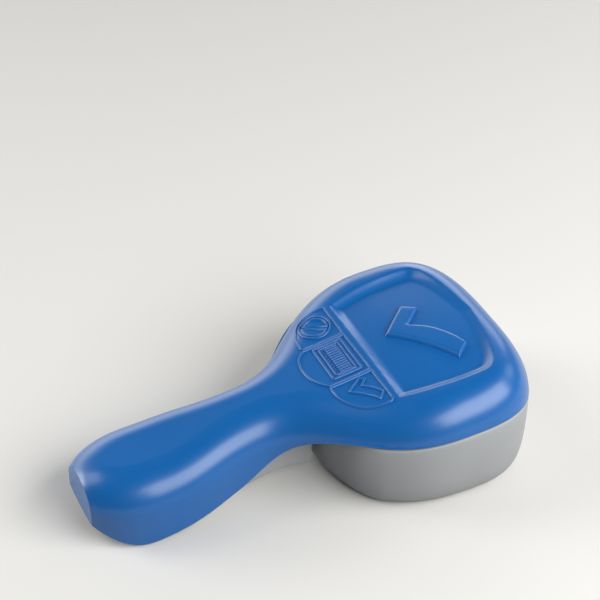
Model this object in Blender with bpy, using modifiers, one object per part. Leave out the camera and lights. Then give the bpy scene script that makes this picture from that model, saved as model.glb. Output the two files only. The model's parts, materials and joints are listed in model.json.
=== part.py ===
"""Toy hand scanner at rest on its base: a blue grip and head, a grey base and a finger trigger.

x runs from the grip's butt to the head's front, y runs across and z up from the table, all in metres.
The frame empty moves the whole object so that its origin lies under the middle of its length.
"""

import math

import bmesh
import bpy
import numpy as np
from mathutils import Vector

# Plan outline of the blue top. A flat end face cuts off the round of the butt by its overhang.
LENGTH = 0.165
BUTT_WIDTH = 0.0418
BUTT_REACH = 0.0240
BUTT_OVERHANG = 0.0040
BUTT_SQUARENESS = 2.23
TRIGGER_WIDTH = 0.0224
NECK_STRIP = 0.0047
NECK_X = 0.0637
NECK_WIDTH = TRIGGER_WIDTH + 2 * NECK_STRIP
HEAD_X = 0.1279
HEAD_WIDTH = 0.0964
HEAD_SQUARENESS = 3.0

# Side view: the crown line of the blue top, its lower rim, and the round of its shoulder
CROWN = ((0.0, 0.0264), (0.023, 0.0275), (0.064, 0.0358), (0.096, 0.0402), (0.128, 0.0460), (0.165, 0.0487))
RIM = (
    (0.0, 0.0090), (0.0169, 0.0007), (0.0257, 0.0018), (0.0532, 0.0090),
    (0.077, 0.0242), (0.0972, 0.0300), (0.165, 0.0320),
)
SHOULDER_REACH = ((0.0, 0.0140), (0.064, 0.0139), (0.101, 0.0137), (0.165, 0.0150))
SHOULDER_DROP = ((0.0, 0.0127), (0.064, 0.0143), (0.101, 0.0141), (0.165, 0.0170))

# Walls, fits and gaps
SHELL_WALL = 0.0020
RIM_EDGE = 0.0005
BASE_WALL = 0.0028
RIB_WALL = 0.0014
LIP_WALL = 0.0016
FIT = 0.0003
SEAM_GAP = 0.0005
RUNNING_GAP = 0.0004

# Grey base under the head
BASE_REAR_X = 0.0866
BASE_REAR_FULLNESS = 0.395
BASE_FLUSH_X = 0.1003
BASE_REAR_TAPER = 0.856
BASE_FRONT_TAPER = 0.945
BASE_SIDE_TAPER = 0.80
BASE_ROUND = 2.50

# Lip and grip floor that reach up inside the blue top
LIP_RISE = 0.0030
LIP_LEAN_GAP = 0.00015
FLOOR_INSET = 0.0006
FLOOR_DIP = 0.0016
FLOOR_END_X = 0.0975

# Recess in the head
RECESS_DEPTH = 0.0013
RECESS_BORDER = 0.0013
RECESS_OVERCUT = 0.0005
RECESS_REAR_X = 0.1100
RECESS_FRONT_X = 0.1537
RECESS_REAR_WIDTH = 0.0580
RECESS_WIDTH = 0.0660

# Trigger
TRIGGER_FRONT_X = 0.0845
TRIGGER_WALL = 0.0020
TRIGGER_EDGE = ((0.0432, 0.0088), (0.054, 0.0049), (0.073, 0.0084), (0.0845, 0.0066))
TRIGGER_TUCK = 0.0026
PIVOT_X = 0.0472
PIVOT_Z = 0.0118
TRIGGER_SWING = 5.0
PIN_RADIUS = 0.0015
PIN_GAP = 0.00015
HUB_RADIUS = 0.0040
EAR_RADIUS = 0.0035

# Trigger spring
SPRING_X = 0.0740
SPRING_LENGTH = 0.0095
SPRING_RADIUS = 0.0029
SPRING_WIRE = 0.0006
SPRING_TURNS = 6
SPRING_SEAT_Z = 0.0220

# Circuit board in the grip and what it carries
BOARD_REAR_X = 0.0360
BOARD_FRONT_X = 0.0665
BOARD_WIDTH = 0.0176
BOARD_THICKNESS = 0.0016
BOARD_Z = 0.0243
SWITCH_X = 0.0572
SWITCH_SIZE = (0.0080, 0.0070, 0.0058)
PLUNGER_RADIUS = 0.0013
PLUNGER_DEPTH = 0.0026
CHIP_RADIUS = 0.0040
CHIP_HEIGHT = 0.0015
CAPACITOR_RADIUS = 0.0025
CAPACITOR_LENGTH = 0.0070

# Cells, their bay and the door under them
CELL_RADIUS = 0.00525
CELL_LENGTH = 0.0445
CELL_NUB_RADIUS = 0.0019
CELL_NUB_LENGTH = 0.0010
CELL_GAP = 0.0006
BAY_SETBACK = 0.0147
BAY_HEIGHT = 0.0135
CONTACT_THICKNESS = 0.0004
CONTACT_SPRING_LENGTH = 0.0045
CONTACT_SPRING_RADII = (0.0034, 0.0018)
CONTACT_SPRING_WIRE = 0.0006
CONTACT_SPRING_TURNS = 3
DOOR_THICKNESS = 0.0022

# Lamp, light box and window
WINDOW_LENGTH = 0.0140
WINDOW_WIDTH = 0.0340
WINDOW_FLANGE = 0.0020
WINDOW_RECESS = 0.0008
WINDOW_SPACING = 0.0020
HOOD_HEIGHT = 0.0125
HOOD_TOP_SIDE = 0.0090
HOOD_WALL = 0.0012
LAMP_RADIUS = 0.0025
LAMP_FLANGE_RADIUS = 0.0030
LAMP_LENGTH = 0.0076

# Speaker
SPEAKER_RADIUS = 0.0090
SPEAKER_HEIGHT = 0.0053
MAGNET_RADIUS = 0.0050
MAGNET_HEIGHT = 0.0030
GRILLE_HOLE_RADIUS = 0.0011
GRILLE_PITCH = 0.0040

# Screw bosses
BOSS_RADIUS = 0.0040
WELL_RADIUS = 0.0029
SCREW_RADIUS = 0.0013
WELL_ROOF = 0.0025
HEAD_BOSS_TOP = 0.0240
GRIP_BOSS_TOP = 0.0120
GRIP_BOSS_X = 0.0200
FRONT_BOSS_SETBACK = 0.0135
FRONT_BOSS_Y = 0.0240
BOARD_BOSS_RADIUS = 0.0025
POST_RADIUS = 0.0035

ROUND_SIDES = 16


def smooth_curve(stations):
    """A smooth line through (place, value) stations that doesn't overshoot them."""
    places, values = np.array(stations).T
    steps = np.diff(places)
    slopes = np.diff(values) / steps
    tangents = np.zeros(len(places))
    for i in range(1, len(steps)):
        if slopes[i - 1] * slopes[i] > 0:
            tangents[i] = 2 * slopes[i - 1] * slopes[i] / (slopes[i - 1] + slopes[i])
    for end, near in ((0, 1), (-1, -2)):
        far_share = steps[end] / (steps[end] + steps[near])
        tangents[end] = (1 + far_share) * slopes[end] - far_share * slopes[near]

    def value(at):
        at = np.clip(at, places[0], places[-1])
        i = np.clip(np.searchsorted(places, at) - 1, 0, len(steps) - 1)
        t = (at - places[i]) / steps[i]
        rise = (3 - 2 * t) * t * t
        start = t * (1 - t) ** 2 * steps[i] * tangents[i]
        end = t * t * (t - 1) * steps[i] * tangents[i + 1]
        return values[i] + (values[i + 1] - values[i]) * rise + start + end

    return value


crown = smooth_curve(CROWN)
rim = smooth_curve(RIM)
shoulder_reach = smooth_curve(SHOULDER_REACH)
shoulder_drop = smooth_curve(SHOULDER_DROP)
trigger_edge = smooth_curve(TRIGGER_EDGE)


def bezier(start, first, second, end, count):
    """Points after the start of a cubic arc, up to and with its end."""
    t = np.linspace(0, 1, count + 1)[1:, None]
    weights = ((1 - t) ** 3, 3 * t * (1 - t) ** 2, 3 * t * t * (1 - t), t**3)
    return sum(w * np.array(p) for w, p in zip(weights, (start, first, second, end)))


def half_outline(fineness=1):
    """Half of the blue top's plan, from the middle of the butt round to the middle of the front."""
    turn = np.linspace(0, math.pi / 2, 8 * fineness + 1)[:, None]
    rise, run = np.sin(turn), np.cos(turn)
    butt, neck, head = BUTT_WIDTH / 2, NECK_WIDTH / 2, HEAD_WIDTH / 2
    power = 2 / BUTT_SQUARENESS
    butt_arc = np.hstack((BUTT_REACH - (BUTT_REACH + BUTT_OVERHANG) * run**power, butt * rise**power))
    span = NECK_X - BUTT_REACH
    grip = bezier(
        (BUTT_REACH, butt), (BUTT_REACH + 0.50 * span, butt),
        (NECK_X - 0.39 * span, neck), (NECK_X, neck), 6 * fineness,
    )
    span = HEAD_X - NECK_X
    flare = bezier(
        (NECK_X, neck), (NECK_X + 0.38 * span, neck),
        (HEAD_X - 0.58 * span, head), (HEAD_X, head), 9 * fineness,
    )
    power = 2 / HEAD_SQUARENESS
    reach = LENGTH - HEAD_X
    front = np.hstack((HEAD_X + reach * rise**power, head * run**power))[1:]
    front[-1, 1] = 0
    return np.vstack((butt_arc, grip, flare, front))


OUTLINE = half_outline()
FINE_OUTLINE = half_outline(8)


def half_width(x):
    """Half of the blue top's width at a place along it."""
    return float(np.interp(x, FINE_OUTLINE[:, 0], FINE_OUTLINE[:, 1]))


def inset(half, distance):
    """A half outline moved inwards, square to itself."""
    along = np.gradient(half, axis=0)
    along[0], along[-1] = (0, 1), (0, -1)
    along /= np.linalg.norm(along, axis=1)[:, None]
    return half - distance * np.stack((-along[:, 1], along[:, 0]), axis=1)


def mirrored(half):
    """A whole loop from a half outline that starts and ends on the middle line."""
    return np.vstack((half, half[-2:0:-1] * (1, -1)))


def edge_distance(points):
    """How far inside the plan outline each point lies."""
    edge = mirrored(FINE_OUTLINE)
    return np.array([np.hypot(*(edge - p).T).min() for p in points])


def crown_height(points, depth=0.0):
    """Height of the blue top's skin over plan points, or of the surface this deep under it."""
    x = points[:, 0]
    inside = np.clip((edge_distance(points) - depth) / shoulder_reach(x), 0, 1)
    height = crown(x) - depth - shoulder_drop(x) * (1 - np.sqrt(1 - (1 - inside) ** 2))
    return np.maximum(height, rim(x) + RIM_EDGE)


def with_height(points, height):
    return np.hstack((points, np.broadcast_to(height, len(points))[:, None]))


def skin_rings(depth=0.0):
    """Rings of the blue top's skin, or of a surface under it, from its rim up to the crown's ridge."""
    edge = mirrored(inset(OUTLINE, depth))
    middle = np.clip(edge[:, 0], 0.4 * BUTT_WIDTH, LENGTH - 0.375 * HEAD_WIDTH)
    ridge = np.stack((middle, np.zeros(len(edge))), axis=1)
    way = np.hypot(*(ridge - edge).T)
    rings = [with_height(edge, rim(edge[:, 0]))]
    for part in (0.0, 0.06, 0.17, 0.32, 0.52, 0.78, 1.1):
        share = np.minimum(part * shoulder_reach(edge[:, 0]) / way, 0.6 + 0.3 * part)
        points = edge + (ridge - edge) * share[:, None]
        rings.append(with_height(points, crown_height(points, depth)))
    rings.append(with_height(ridge, crown(middle) - depth))
    return rings


def material(name, colour, roughness, metallic=0.0):
    made = bpy.data.materials.new(name)
    made.use_nodes = True
    shader = made.node_tree.nodes["Principled BSDF"]
    shader.inputs["Base Color"].default_value = (*colour, 1)
    shader.inputs["Roughness"].default_value = roughness
    shader.inputs["Metallic"].default_value = metallic
    made.diffuse_color = (*colour, 1)
    return made


for old in list(bpy.data.objects):
    bpy.data.objects.remove(old, do_unlink=True)

parts = bpy.data.collections.new("toy_hand_scanner")
tools = bpy.data.collections.new("cutters")
bpy.context.scene.collection.children.link(parts)
bpy.context.scene.collection.children.link(tools)
frame = bpy.data.objects.new("scanner_frame", None)
frame.location = (-LENGTH / 2, 0, 0)
parts.objects.link(frame)

BLUE = material("blue_plastic", (0.012, 0.125, 0.50), 0.32)
GREY = material("grey_plastic", (0.20, 0.205, 0.21), 0.45)
RED_CLEAR = material("red_window", (0.45, 0.01, 0.01), 0.10)
BLACK = material("black_plastic", (0.015, 0.015, 0.016), 0.45)
WHITE = material("white_plastic", (0.75, 0.75, 0.72), 0.50)
BOARD_GREEN = material("board_green", (0.02, 0.12, 0.04), 0.40)
STEEL = material("steel", (0.60, 0.60, 0.62), 0.28, 1.0)
CELL_SLEEVE = material("cell_sleeve", (0.03, 0.03, 0.035), 0.35)
PAPER = material("speaker_paper", (0.05, 0.045, 0.04), 0.80)


def place(name, data, finish=None, location=(0, 0, 0)):
    """A piece in the parts collection, or a cutter when it has no finish."""
    made = bpy.data.objects.new(name, data)
    made.parent = frame
    made.location = location
    if finish:
        data.materials.append(finish)
        parts.objects.link(made)
    else:
        made.hide_render = True
        made.display_type = "WIRE"
        tools.objects.link(made)
    return made


def mesh_from(name, shape):
    mesh = bpy.data.meshes.new(name)
    shape.to_mesh(mesh)
    shape.free()
    return mesh


def smooth(piece, angle=35):
    piece.data.shade_smooth()
    piece.data.set_sharp_from_angle(angle=math.radians(angle))


def modify(piece, kind, **settings):
    made = piece.modifiers.new(kind.lower(), kind)
    for key, value in settings.items():
        setattr(made, key, value)
    return made


def cut(piece, tool):
    modify(piece, "BOOLEAN", operation="DIFFERENCE", object=tool)


def join(piece, tool):
    modify(piece, "BOOLEAN", operation="UNION", object=tool)


def keep_inside(piece, tool):
    modify(piece, "BOOLEAN", operation="INTERSECT", object=tool)


def loft(name, rings, finish=None, cap_start=False, cap_end=False):
    """A skin through closed rings that have the same number of points. Strips across y close its start."""
    shape = bmesh.new()
    loops = [[shape.verts.new(p) for p in ring] for ring in rings]
    count = len(loops[0])
    for low, high in zip(loops, loops[1:]):
        for i in range(count):
            j = (i + 1) % count
            shape.faces.new((low[i], low[j], high[j], high[i]))
    if cap_start:
        for i in range(count // 2):
            ends = (loops[0][i], loops[0][i + 1], loops[0][-i - 1], loops[0][-i])
            shape.faces.new(dict.fromkeys(ends))
    if cap_end:
        shape.faces.new(loops[-1])
    bmesh.ops.remove_doubles(shape, verts=shape.verts, dist=1e-6)
    bmesh.ops.recalc_face_normals(shape, faces=shape.faces)
    middle = Vector(np.mean(rings[0], axis=0))
    shape.faces.ensure_lookup_table()
    wall = shape.faces[:count]
    if sum(face.normal.dot(face.calc_center_median() - middle) for face in wall) < 0:
        bmesh.ops.reverse_faces(shape, faces=shape.faces)
    return place(name, mesh_from(name, shape), finish)


def plan_prism(name, half, low, high, finish=None):
    """A closed solid over a symmetric plan, its underside and top each following a height along x."""
    shape = bmesh.new()
    levels = []
    for height in (low, high):
        z = height(half[:, 0])
        left = [shape.verts.new((x, y, h)) for (x, y), h in zip(half, z)]
        right = [shape.verts.new((x, -y, h)) for (x, y), h in zip(half, z)]
        levels.append((left, right))
    (low_left, low_right), (high_left, high_right) = levels
    for i in range(len(half) - 1):
        j = i + 1
        shape.faces.new((low_left[i], low_left[j], low_right[j], low_right[i]))
        shape.faces.new((high_left[i], high_right[i], high_right[j], high_left[j]))
        shape.faces.new((low_left[i], high_left[i], high_left[j], low_left[j]))
        shape.faces.new((low_right[j], high_right[j], high_right[i], low_right[i]))
    bmesh.ops.remove_doubles(shape, verts=shape.verts, dist=1e-6)
    bmesh.ops.dissolve_degenerate(shape, edges=shape.edges, dist=1e-7)
    ends = [edge for edge in shape.edges if edge.is_boundary]
    bmesh.ops.holes_fill(shape, edges=ends)
    bmesh.ops.recalc_face_normals(shape, faces=shape.faces)
    return place(name, mesh_from(name, shape), finish)


def add_box(shape, low, high):
    made = bmesh.ops.create_cube(shape, size=1)["verts"]
    low, high = np.array(low), np.array(high)
    for vert in made:
        vert.co = (low + high) / 2 + np.array(vert.co) * (high - low)


def add_cylinder(shape, centre, radius, low, high, axis="z", sides=ROUND_SIDES):
    """A cylinder along z, or along y, between two places on that axis."""
    made = bmesh.ops.create_cone(
        shape, cap_ends=True, segments=sides, radius1=radius, radius2=radius, depth=high - low
    )["verts"]
    for vert in made:
        x, y, z = vert.co
        middle = (low + high) / 2
        if axis == "y":
            vert.co = (centre[0] + x, middle - z, centre[1] + y)
        else:
            vert.co = (centre[0] + x, centre[1] + y, middle + z)


def boxes(name, corners, finish=None):
    shape = bmesh.new()
    for low, high in corners:
        add_box(shape, low, high)
    return place(name, mesh_from(name, shape), finish)


def cylinders(name, rounds, finish=None, axis="z", sides=ROUND_SIDES):
    shape = bmesh.new()
    for centre, radius, low, high in rounds:
        add_cylinder(shape, centre, radius, low, high, axis, sides)
    made = place(name, mesh_from(name, shape), finish)
    if finish:
        smooth(made)
    return made


def turned(name, profile, finish, location, along_y=False):
    """A solid turned from (radius, height) points that run down its outer side."""
    mesh = bpy.data.meshes.new(name)
    points = [(r, 0, h) for r, h in profile]
    mesh.from_pydata(points, [(i, i + 1) for i in range(len(points) - 1)], [])
    made = place(name, mesh, finish, location)
    modify(
        made, "SCREW", steps=ROUND_SIDES, render_steps=ROUND_SIDES, use_merge_vertices=True,
        merge_threshold=1e-6, use_smooth_shade=True,
    )
    if along_y:
        made.rotation_euler = (-math.pi / 2, 0, 0)
    return made


def side_profile(name, points, half_thickness):
    """A plate cut to a side view, given as (x, z) points, made a plain mesh so that it can be cut."""
    curve = bpy.data.curves.new(name, "CURVE")
    curve.dimensions = "2D"
    curve.fill_mode = "BOTH"
    curve.extrude = half_thickness
    line = curve.splines.new("POLY")
    line.points.add(len(points) - 1)
    line.use_cyclic_u = True
    for point, (x, z) in zip(line.points, points):
        point.co = (x, z, 0, 1)
    flat = bpy.data.objects.new(name, curve)
    tools.objects.link(flat)
    flat.rotation_euler = (math.pi / 2, 0, 0)
    bpy.context.view_layer.update()
    evaluated = flat.evaluated_get(bpy.context.evaluated_depsgraph_get())
    mesh = bpy.data.meshes.new_from_object(evaluated)
    mesh.transform(flat.matrix_world)
    bpy.data.objects.remove(flat)
    bpy.data.curves.remove(curve)
    shape = bmesh.new()
    shape.from_mesh(mesh)
    bmesh.ops.remove_doubles(shape, verts=shape.verts, dist=1e-6)
    bmesh.ops.recalc_face_normals(shape, faces=shape.faces)
    shape.to_mesh(mesh)
    shape.free()
    mesh.name = name
    return mesh


def wire_path(name, points, radius, finish, location=(0, 0, 0)):
    """A round wire along points."""
    curve = bpy.data.curves.new(name, "CURVE")
    curve.dimensions = "3D"
    curve.bevel_depth = radius
    curve.bevel_resolution = 1
    curve.use_fill_caps = True
    line = curve.splines.new("POLY")
    line.points.add(len(points) - 1)
    for point, place_on_path in zip(line.points, points):
        point.co = (*place_on_path, 1)
    return place(name, curve, finish, location)


def coil(name, radii, length, turns, wire, finish, location, along_y=0):
    """A spring wound from a formula, standing on its location, with its least gap between turns printed."""
    per_turn = 12
    count = turns * per_turn
    rise = length - wire
    points = []
    for i in range(count + 1):
        share = i / count
        angle = 2 * math.pi * turns * share
        radius = radii[0] + (radii[1] - radii[0]) * share
        across, up = radius * math.cos(angle), radius * math.sin(angle)
        height = wire / 2 + rise * share
        points.append((across, along_y * height, up) if along_y else (across, up, height))
    track = np.array(points)
    half = per_turn // 2
    gaps = [np.linalg.norm(track[i + half :] - p, axis=1).min() for i, p in enumerate(track[:-half])]
    print(f"{name}: least gap between turns {1000 * (min(gaps) - wire):.2f} mm")
    return wire_path(name, points, wire / 2, finish, location)


# Places that follow from the sizes above
bay_rear = BASE_REAR_X + BAY_SETBACK
cell_x = (
    bay_rear + CELL_GAP + CELL_RADIUS,
    bay_rear + 2 * CELL_GAP + 3 * CELL_RADIUS,
)
bay_front = cell_x[1] + CELL_RADIUS + CELL_GAP
bay_half = (CELL_LENGTH + CONTACT_SPRING_LENGTH + 2 * CONTACT_THICKNESS + 4 * FIT) / 2
cell_z = DOOR_THICKNESS + FIT + CELL_RADIUS
window_x = bay_front + RIB_WALL + WINDOW_SPACING + WINDOW_FLANGE + WINDOW_LENGTH / 2
speaker_y = -(WINDOW_WIDTH / 2 + WINDOW_FLANGE + FIT + RUNNING_GAP + SPEAKER_RADIUS)
slot_half = TRIGGER_WIDTH / 2 + RUNNING_GAP
lip_inset = SHELL_WALL + FIT + LIP_LEAN_GAP
ear_reach = half_width(PIVOT_X + EAR_RADIUS) - lip_inset - FIT
trigger_travel_arm = SWITCH_X - PIVOT_X
rear_boss_y = bay_half + RIB_WALL + BOSS_RADIUS + FIT
head_bosses = [
    (x, side * y)
    for x, y in ((cell_x[1], rear_boss_y), (LENGTH - FRONT_BOSS_SETBACK, FRONT_BOSS_Y))
    for side in (1, -1)
]
board_bosses = [(BOARD_REAR_X + 0.0045, 0.0), (BOARD_FRONT_X - 0.0030, 0.0)]
spring_top = SPRING_SEAT_Z + FIT + SPRING_LENGTH
above_all = 0.080


def grip_floor(x):
    """Underside of the grip's floor: just inside the rim, then dipping to meet the base's rear wall."""
    share = np.clip((x - 0.93 * TRIGGER_FRONT_X) / (0.07 * TRIGGER_FRONT_X), 0, 1)
    return rim(x) + FLOOR_INSET - (FLOOR_INSET + FLOOR_DIP) * share


def base_half_outline():
    """Half of the base's top edge: a rounded rear end, then flush under the blue top's outline."""
    flush = OUTLINE[OUTLINE[:, 0] > BASE_FLUSH_X + 0.001]
    side = np.array((BASE_FLUSH_X, half_width(BASE_FLUSH_X)))
    along = flush[0] - side
    along *= 0.010 / np.linalg.norm(along)
    rear = bezier((BASE_REAR_X, 0), (BASE_REAR_X, BASE_REAR_FULLNESS * side[1]), side - along, side, 8)
    return np.vstack(((BASE_REAR_X, 0), rear, flush))


def base_rings():
    """Rings down the base's wall, which stands almost upright and then rounds into a flat floor."""
    edge = mirrored(base_half_outline())
    middle = (BASE_REAR_X + LENGTH) / 2
    taper = np.where(edge[:, 0] < middle, BASE_REAR_TAPER, BASE_FRONT_TAPER)
    seam = rim(edge[:, 0]) - SEAM_GAP
    rings = []
    for down in (0.0, 0.38, 0.64, 0.81, 0.91, 0.97, 1.0):
        pull = 1 - (1 - down**BASE_ROUND) ** (1 / BASE_ROUND)
        x = middle + (edge[:, 0] - middle) * (1 - (1 - taper) * pull)
        y = edge[:, 1] * (1 - (1 - BASE_SIDE_TAPER) * pull)
        rings.append(np.stack((x, y, seam * (1 - down)), axis=1))
    return rings


def recess_outline():
    """Half of the recess's plan: straight at the rear, bowed at the sides and the front."""
    rear, side = RECESS_REAR_WIDTH / 2, RECESS_WIDTH / 2
    middle = RECESS_REAR_X + 0.75 * (RECESS_FRONT_X - RECESS_REAR_X)
    left = bezier(
        (RECESS_REAR_X, rear), (RECESS_REAR_X + 0.010, side),
        (middle - 0.008, side + 0.001), (middle, side), 6,
    )
    corner = bezier(
        (middle, side), (RECESS_FRONT_X - 0.004, side - 0.001),
        (RECESS_FRONT_X - 0.002, 0.45 * side), (RECESS_FRONT_X, 0), 8,
    )
    return np.vstack(((RECESS_REAR_X, 0), (RECESS_REAR_X, rear), left, corner))


def recess_cutter():
    """A cutter for the recess: a flat floor, a border that slopes up to the skin, and a free top."""
    floor = mirrored(inset(recess_outline(), RECESS_BORDER))
    edge = mirrored(inset(recess_outline(), -RECESS_OVERCUT))
    rise = RECESS_DEPTH * RECESS_OVERCUT / RECESS_BORDER
    rings = [
        with_height(floor, crown(floor[:, 0]) - RECESS_DEPTH),
        with_height(edge, crown_height(edge) + rise),
        with_height(edge, above_all),
    ]
    return loft("recess_cutter", rings, cap_start=True, cap_end=True)


def cut_end(piece, x):
    """Cuts off all that lies behind this place along the object."""
    cut(piece, boxes(piece.name + "_end", [((-LENGTH, -LENGTH, -2 * LENGTH), (x, LENGTH, LENGTH))]))


def skin_solid(name, depth):
    """A cutter that fills the blue top up to this depth under its skin, and reaches far below it."""
    rings = skin_rings(depth)
    solid = loft(name, [rings[0] - (0, 0, LENGTH), *rings], cap_start=True)
    cut_end(solid, depth)
    return solid


def make_upper_shell():
    shell = loft("upper_shell", skin_rings(), BLUE, cap_start=True)
    cut_end(shell, 0)
    cut(shell, skin_solid("shell_room", SHELL_WALL))
    core = skin_solid("shell_core", SHELL_WALL / 2)
    posts = [((x, y), BOSS_RADIUS, HEAD_BOSS_TOP + FIT, above_all) for x, y in head_bosses]
    posts.append(((GRIP_BOSS_X, 0), BOSS_RADIUS, GRIP_BOSS_TOP + FIT, above_all))
    board_top = BOARD_Z + BOARD_THICKNESS
    posts += [(middle, BOARD_BOSS_RADIUS, board_top + FIT, above_all) for middle in board_bosses]
    posts.append(((SPRING_X, 0), POST_RADIUS, spring_top + FIT, above_all))
    bosses = cylinders("shell_bosses", posts, sides=12)
    keep_inside(bosses, core)
    join(shell, bosses)
    pilots = [((x, y), SCREW_RADIUS, HEAD_BOSS_TOP - 0.001, HEAD_BOSS_TOP + 0.010) for x, y in head_bosses]
    pilots.append(((GRIP_BOSS_X, 0), SCREW_RADIUS, GRIP_BOSS_TOP - 0.001, GRIP_BOSS_TOP + 0.008))
    cut(shell, cylinders("shell_pilots", pilots, sides=8))
    cut(shell, recess_cutter())
    return shell


def make_lip():
    """The lip that locates the blue top, with the grip's floor between its sides."""
    outer = inset(OUTLINE, lip_inset - FIT / 2)
    inner = inset(OUTLINE, lip_inset + LIP_WALL)
    lip = plan_prism("housing_lip", outer, grip_floor, lambda x: rim(x) + LIP_RISE)
    hollow = plan_prism(
        "lip_hollow", inner, lambda x: grip_floor(x) + LIP_WALL, lambda x: rim(x) + LIP_RISE + 0.010
    )
    cut_end(hollow, lip_inset + LIP_WALL)
    cut(lip, hollow)
    ahead = np.vstack(((FLOOR_END_X, 0), inner[inner[:, 0] > FLOOR_END_X]))
    ahead = np.insert(ahead, 1, (FLOOR_END_X, ahead[1, 1] - 0.002), axis=0)
    cut(lip, plan_prism("head_opening", ahead, lambda x: rim(x) - 0.010, lambda x: rim(x) + 0.010))
    room = skin_solid("lip_room", lip_inset)
    room.location.z = -FIT
    keep_inside(lip, room)
    return lip


def make_lower_housing():
    housing = loft("lower_housing", base_rings(), GREY, cap_end=True)
    modify(housing, "SOLIDIFY", thickness=BASE_WALL, offset=-1, use_even_offset=True)
    join(housing, make_lip())

    wall = RIB_WALL
    bay = boxes("bay_walls", [(
        (bay_rear - wall, -bay_half - wall, BASE_WALL / 2), (bay_front + wall, bay_half + wall, BAY_HEIGHT)
    )])
    cut(bay, boxes("bay_space", [((bay_rear, -bay_half, 0), (bay_front, bay_half, above_all))]))
    join(housing, bay)

    posts = [((x, y), BOSS_RADIUS, BASE_WALL / 2, HEAD_BOSS_TOP) for x, y in head_bosses]
    grip_floor_z = float(rim(GRIP_BOSS_X)) + FLOOR_INSET
    posts.append(((GRIP_BOSS_X, 0), BOSS_RADIUS, grip_floor_z + LIP_WALL / 2, GRIP_BOSS_TOP))
    join(housing, cylinders("housing_bosses", posts))

    ears = [((PIVOT_X, PIVOT_Z), EAR_RADIUS, side * slot_half, side * ear_reach) for side in (1, -1)]
    ears = [(c, r, min(a, b), max(a, b)) for c, r, a, b in ears]
    join(housing, cylinders("pin_ears", ears, axis="y"))
    foot = float(rim(PIVOT_X)) + FLOOR_INSET + LIP_WALL / 2
    feet = [
        ((PIVOT_X - EAR_RADIUS, min(side * slot_half, side * ear_reach), foot),
         (PIVOT_X + EAR_RADIUS, max(side * slot_half, side * ear_reach), PIVOT_Z))
        for side in (1, -1)
    ]
    join(housing, boxes("ear_feet", feet))

    slot_rear = PIVOT_X - HUB_RADIUS - 2 * RUNNING_GAP
    slot_front = TRIGGER_FRONT_X + 2 * RUNNING_GAP
    slot = [((slot_rear, -slot_half, -0.01), (slot_front, slot_half, above_all))]
    cut(housing, boxes("trigger_slot", slot))
    ear_span = half_width(PIVOT_X)
    bore = [((PIVOT_X, PIVOT_Z), PIN_RADIUS + PIN_GAP, -ear_span, ear_span)]
    cut(housing, cylinders("pin_bore", bore, axis="y"))

    openings = boxes("floor_openings", [
        ((bay_rear + FIT, -bay_half + FIT, -0.01), (bay_front - FIT, bay_half - FIT, 0.001 + BASE_WALL)),
        ((window_x - WINDOW_LENGTH / 2, -WINDOW_WIDTH / 2, -0.01),
         (window_x + WINDOW_LENGTH / 2, WINDOW_WIDTH / 2, 0.001 + BASE_WALL)),
    ])
    cut(housing, openings)
    holes = [((window_x, speaker_y), GRILLE_HOLE_RADIUS, -0.01, 0.001 + BASE_WALL)]
    for i in range(6):
        angle = math.pi / 3 * i
        middle = (window_x + GRILLE_PITCH * math.cos(angle), speaker_y + GRILLE_PITCH * math.sin(angle))
        holes.append((middle, GRILLE_HOLE_RADIUS, -0.01, 0.001 + BASE_WALL))
    cut(housing, cylinders("grille_holes", holes, sides=8))
    wells = [((x, y), WELL_RADIUS, -0.01, HEAD_BOSS_TOP - WELL_ROOF) for x, y in head_bosses]
    wells.append(((GRIP_BOSS_X, 0), WELL_RADIUS, -0.01, GRIP_BOSS_TOP - WELL_ROOF))
    cut(housing, cylinders("screw_wells", wells, sides=12))
    shanks = [((x, y), SCREW_RADIUS + FIT, 0.01, HEAD_BOSS_TOP + 0.001) for x, y in head_bosses]
    shanks.append(((GRIP_BOSS_X, 0), SCREW_RADIUS + FIT, 0.004, GRIP_BOSS_TOP + 0.001))
    cut(housing, cylinders("screw_holes", shanks, sides=8))
    return housing


def trigger_side(grow=0.0):
    """The trigger's side view round its pivot, or that of its hollow, smaller by a wall."""
    front = TRIGGER_FRONT_X - grow
    rear = PIVOT_X + (HUB_RADIUS if grow else -HUB_RADIUS)
    low_x = np.linspace(rear, front, 13)
    low_z = trigger_edge(low_x) + grow
    top_x = np.linspace(front, PIVOT_X + HUB_RADIUS, 8)
    top_z = rim(top_x) + TRIGGER_TUCK + 3 * grow
    points = list(zip(low_x, low_z)) + list(zip(top_x, top_z))
    if not grow:
        for angle in np.linspace(math.pi / 3, math.pi, 5):
            points.append((PIVOT_X + HUB_RADIUS * math.cos(angle), PIVOT_Z + HUB_RADIUS * math.sin(angle)))
    return [(x - PIVOT_X, z - PIVOT_Z) for x, z in points]


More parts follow.
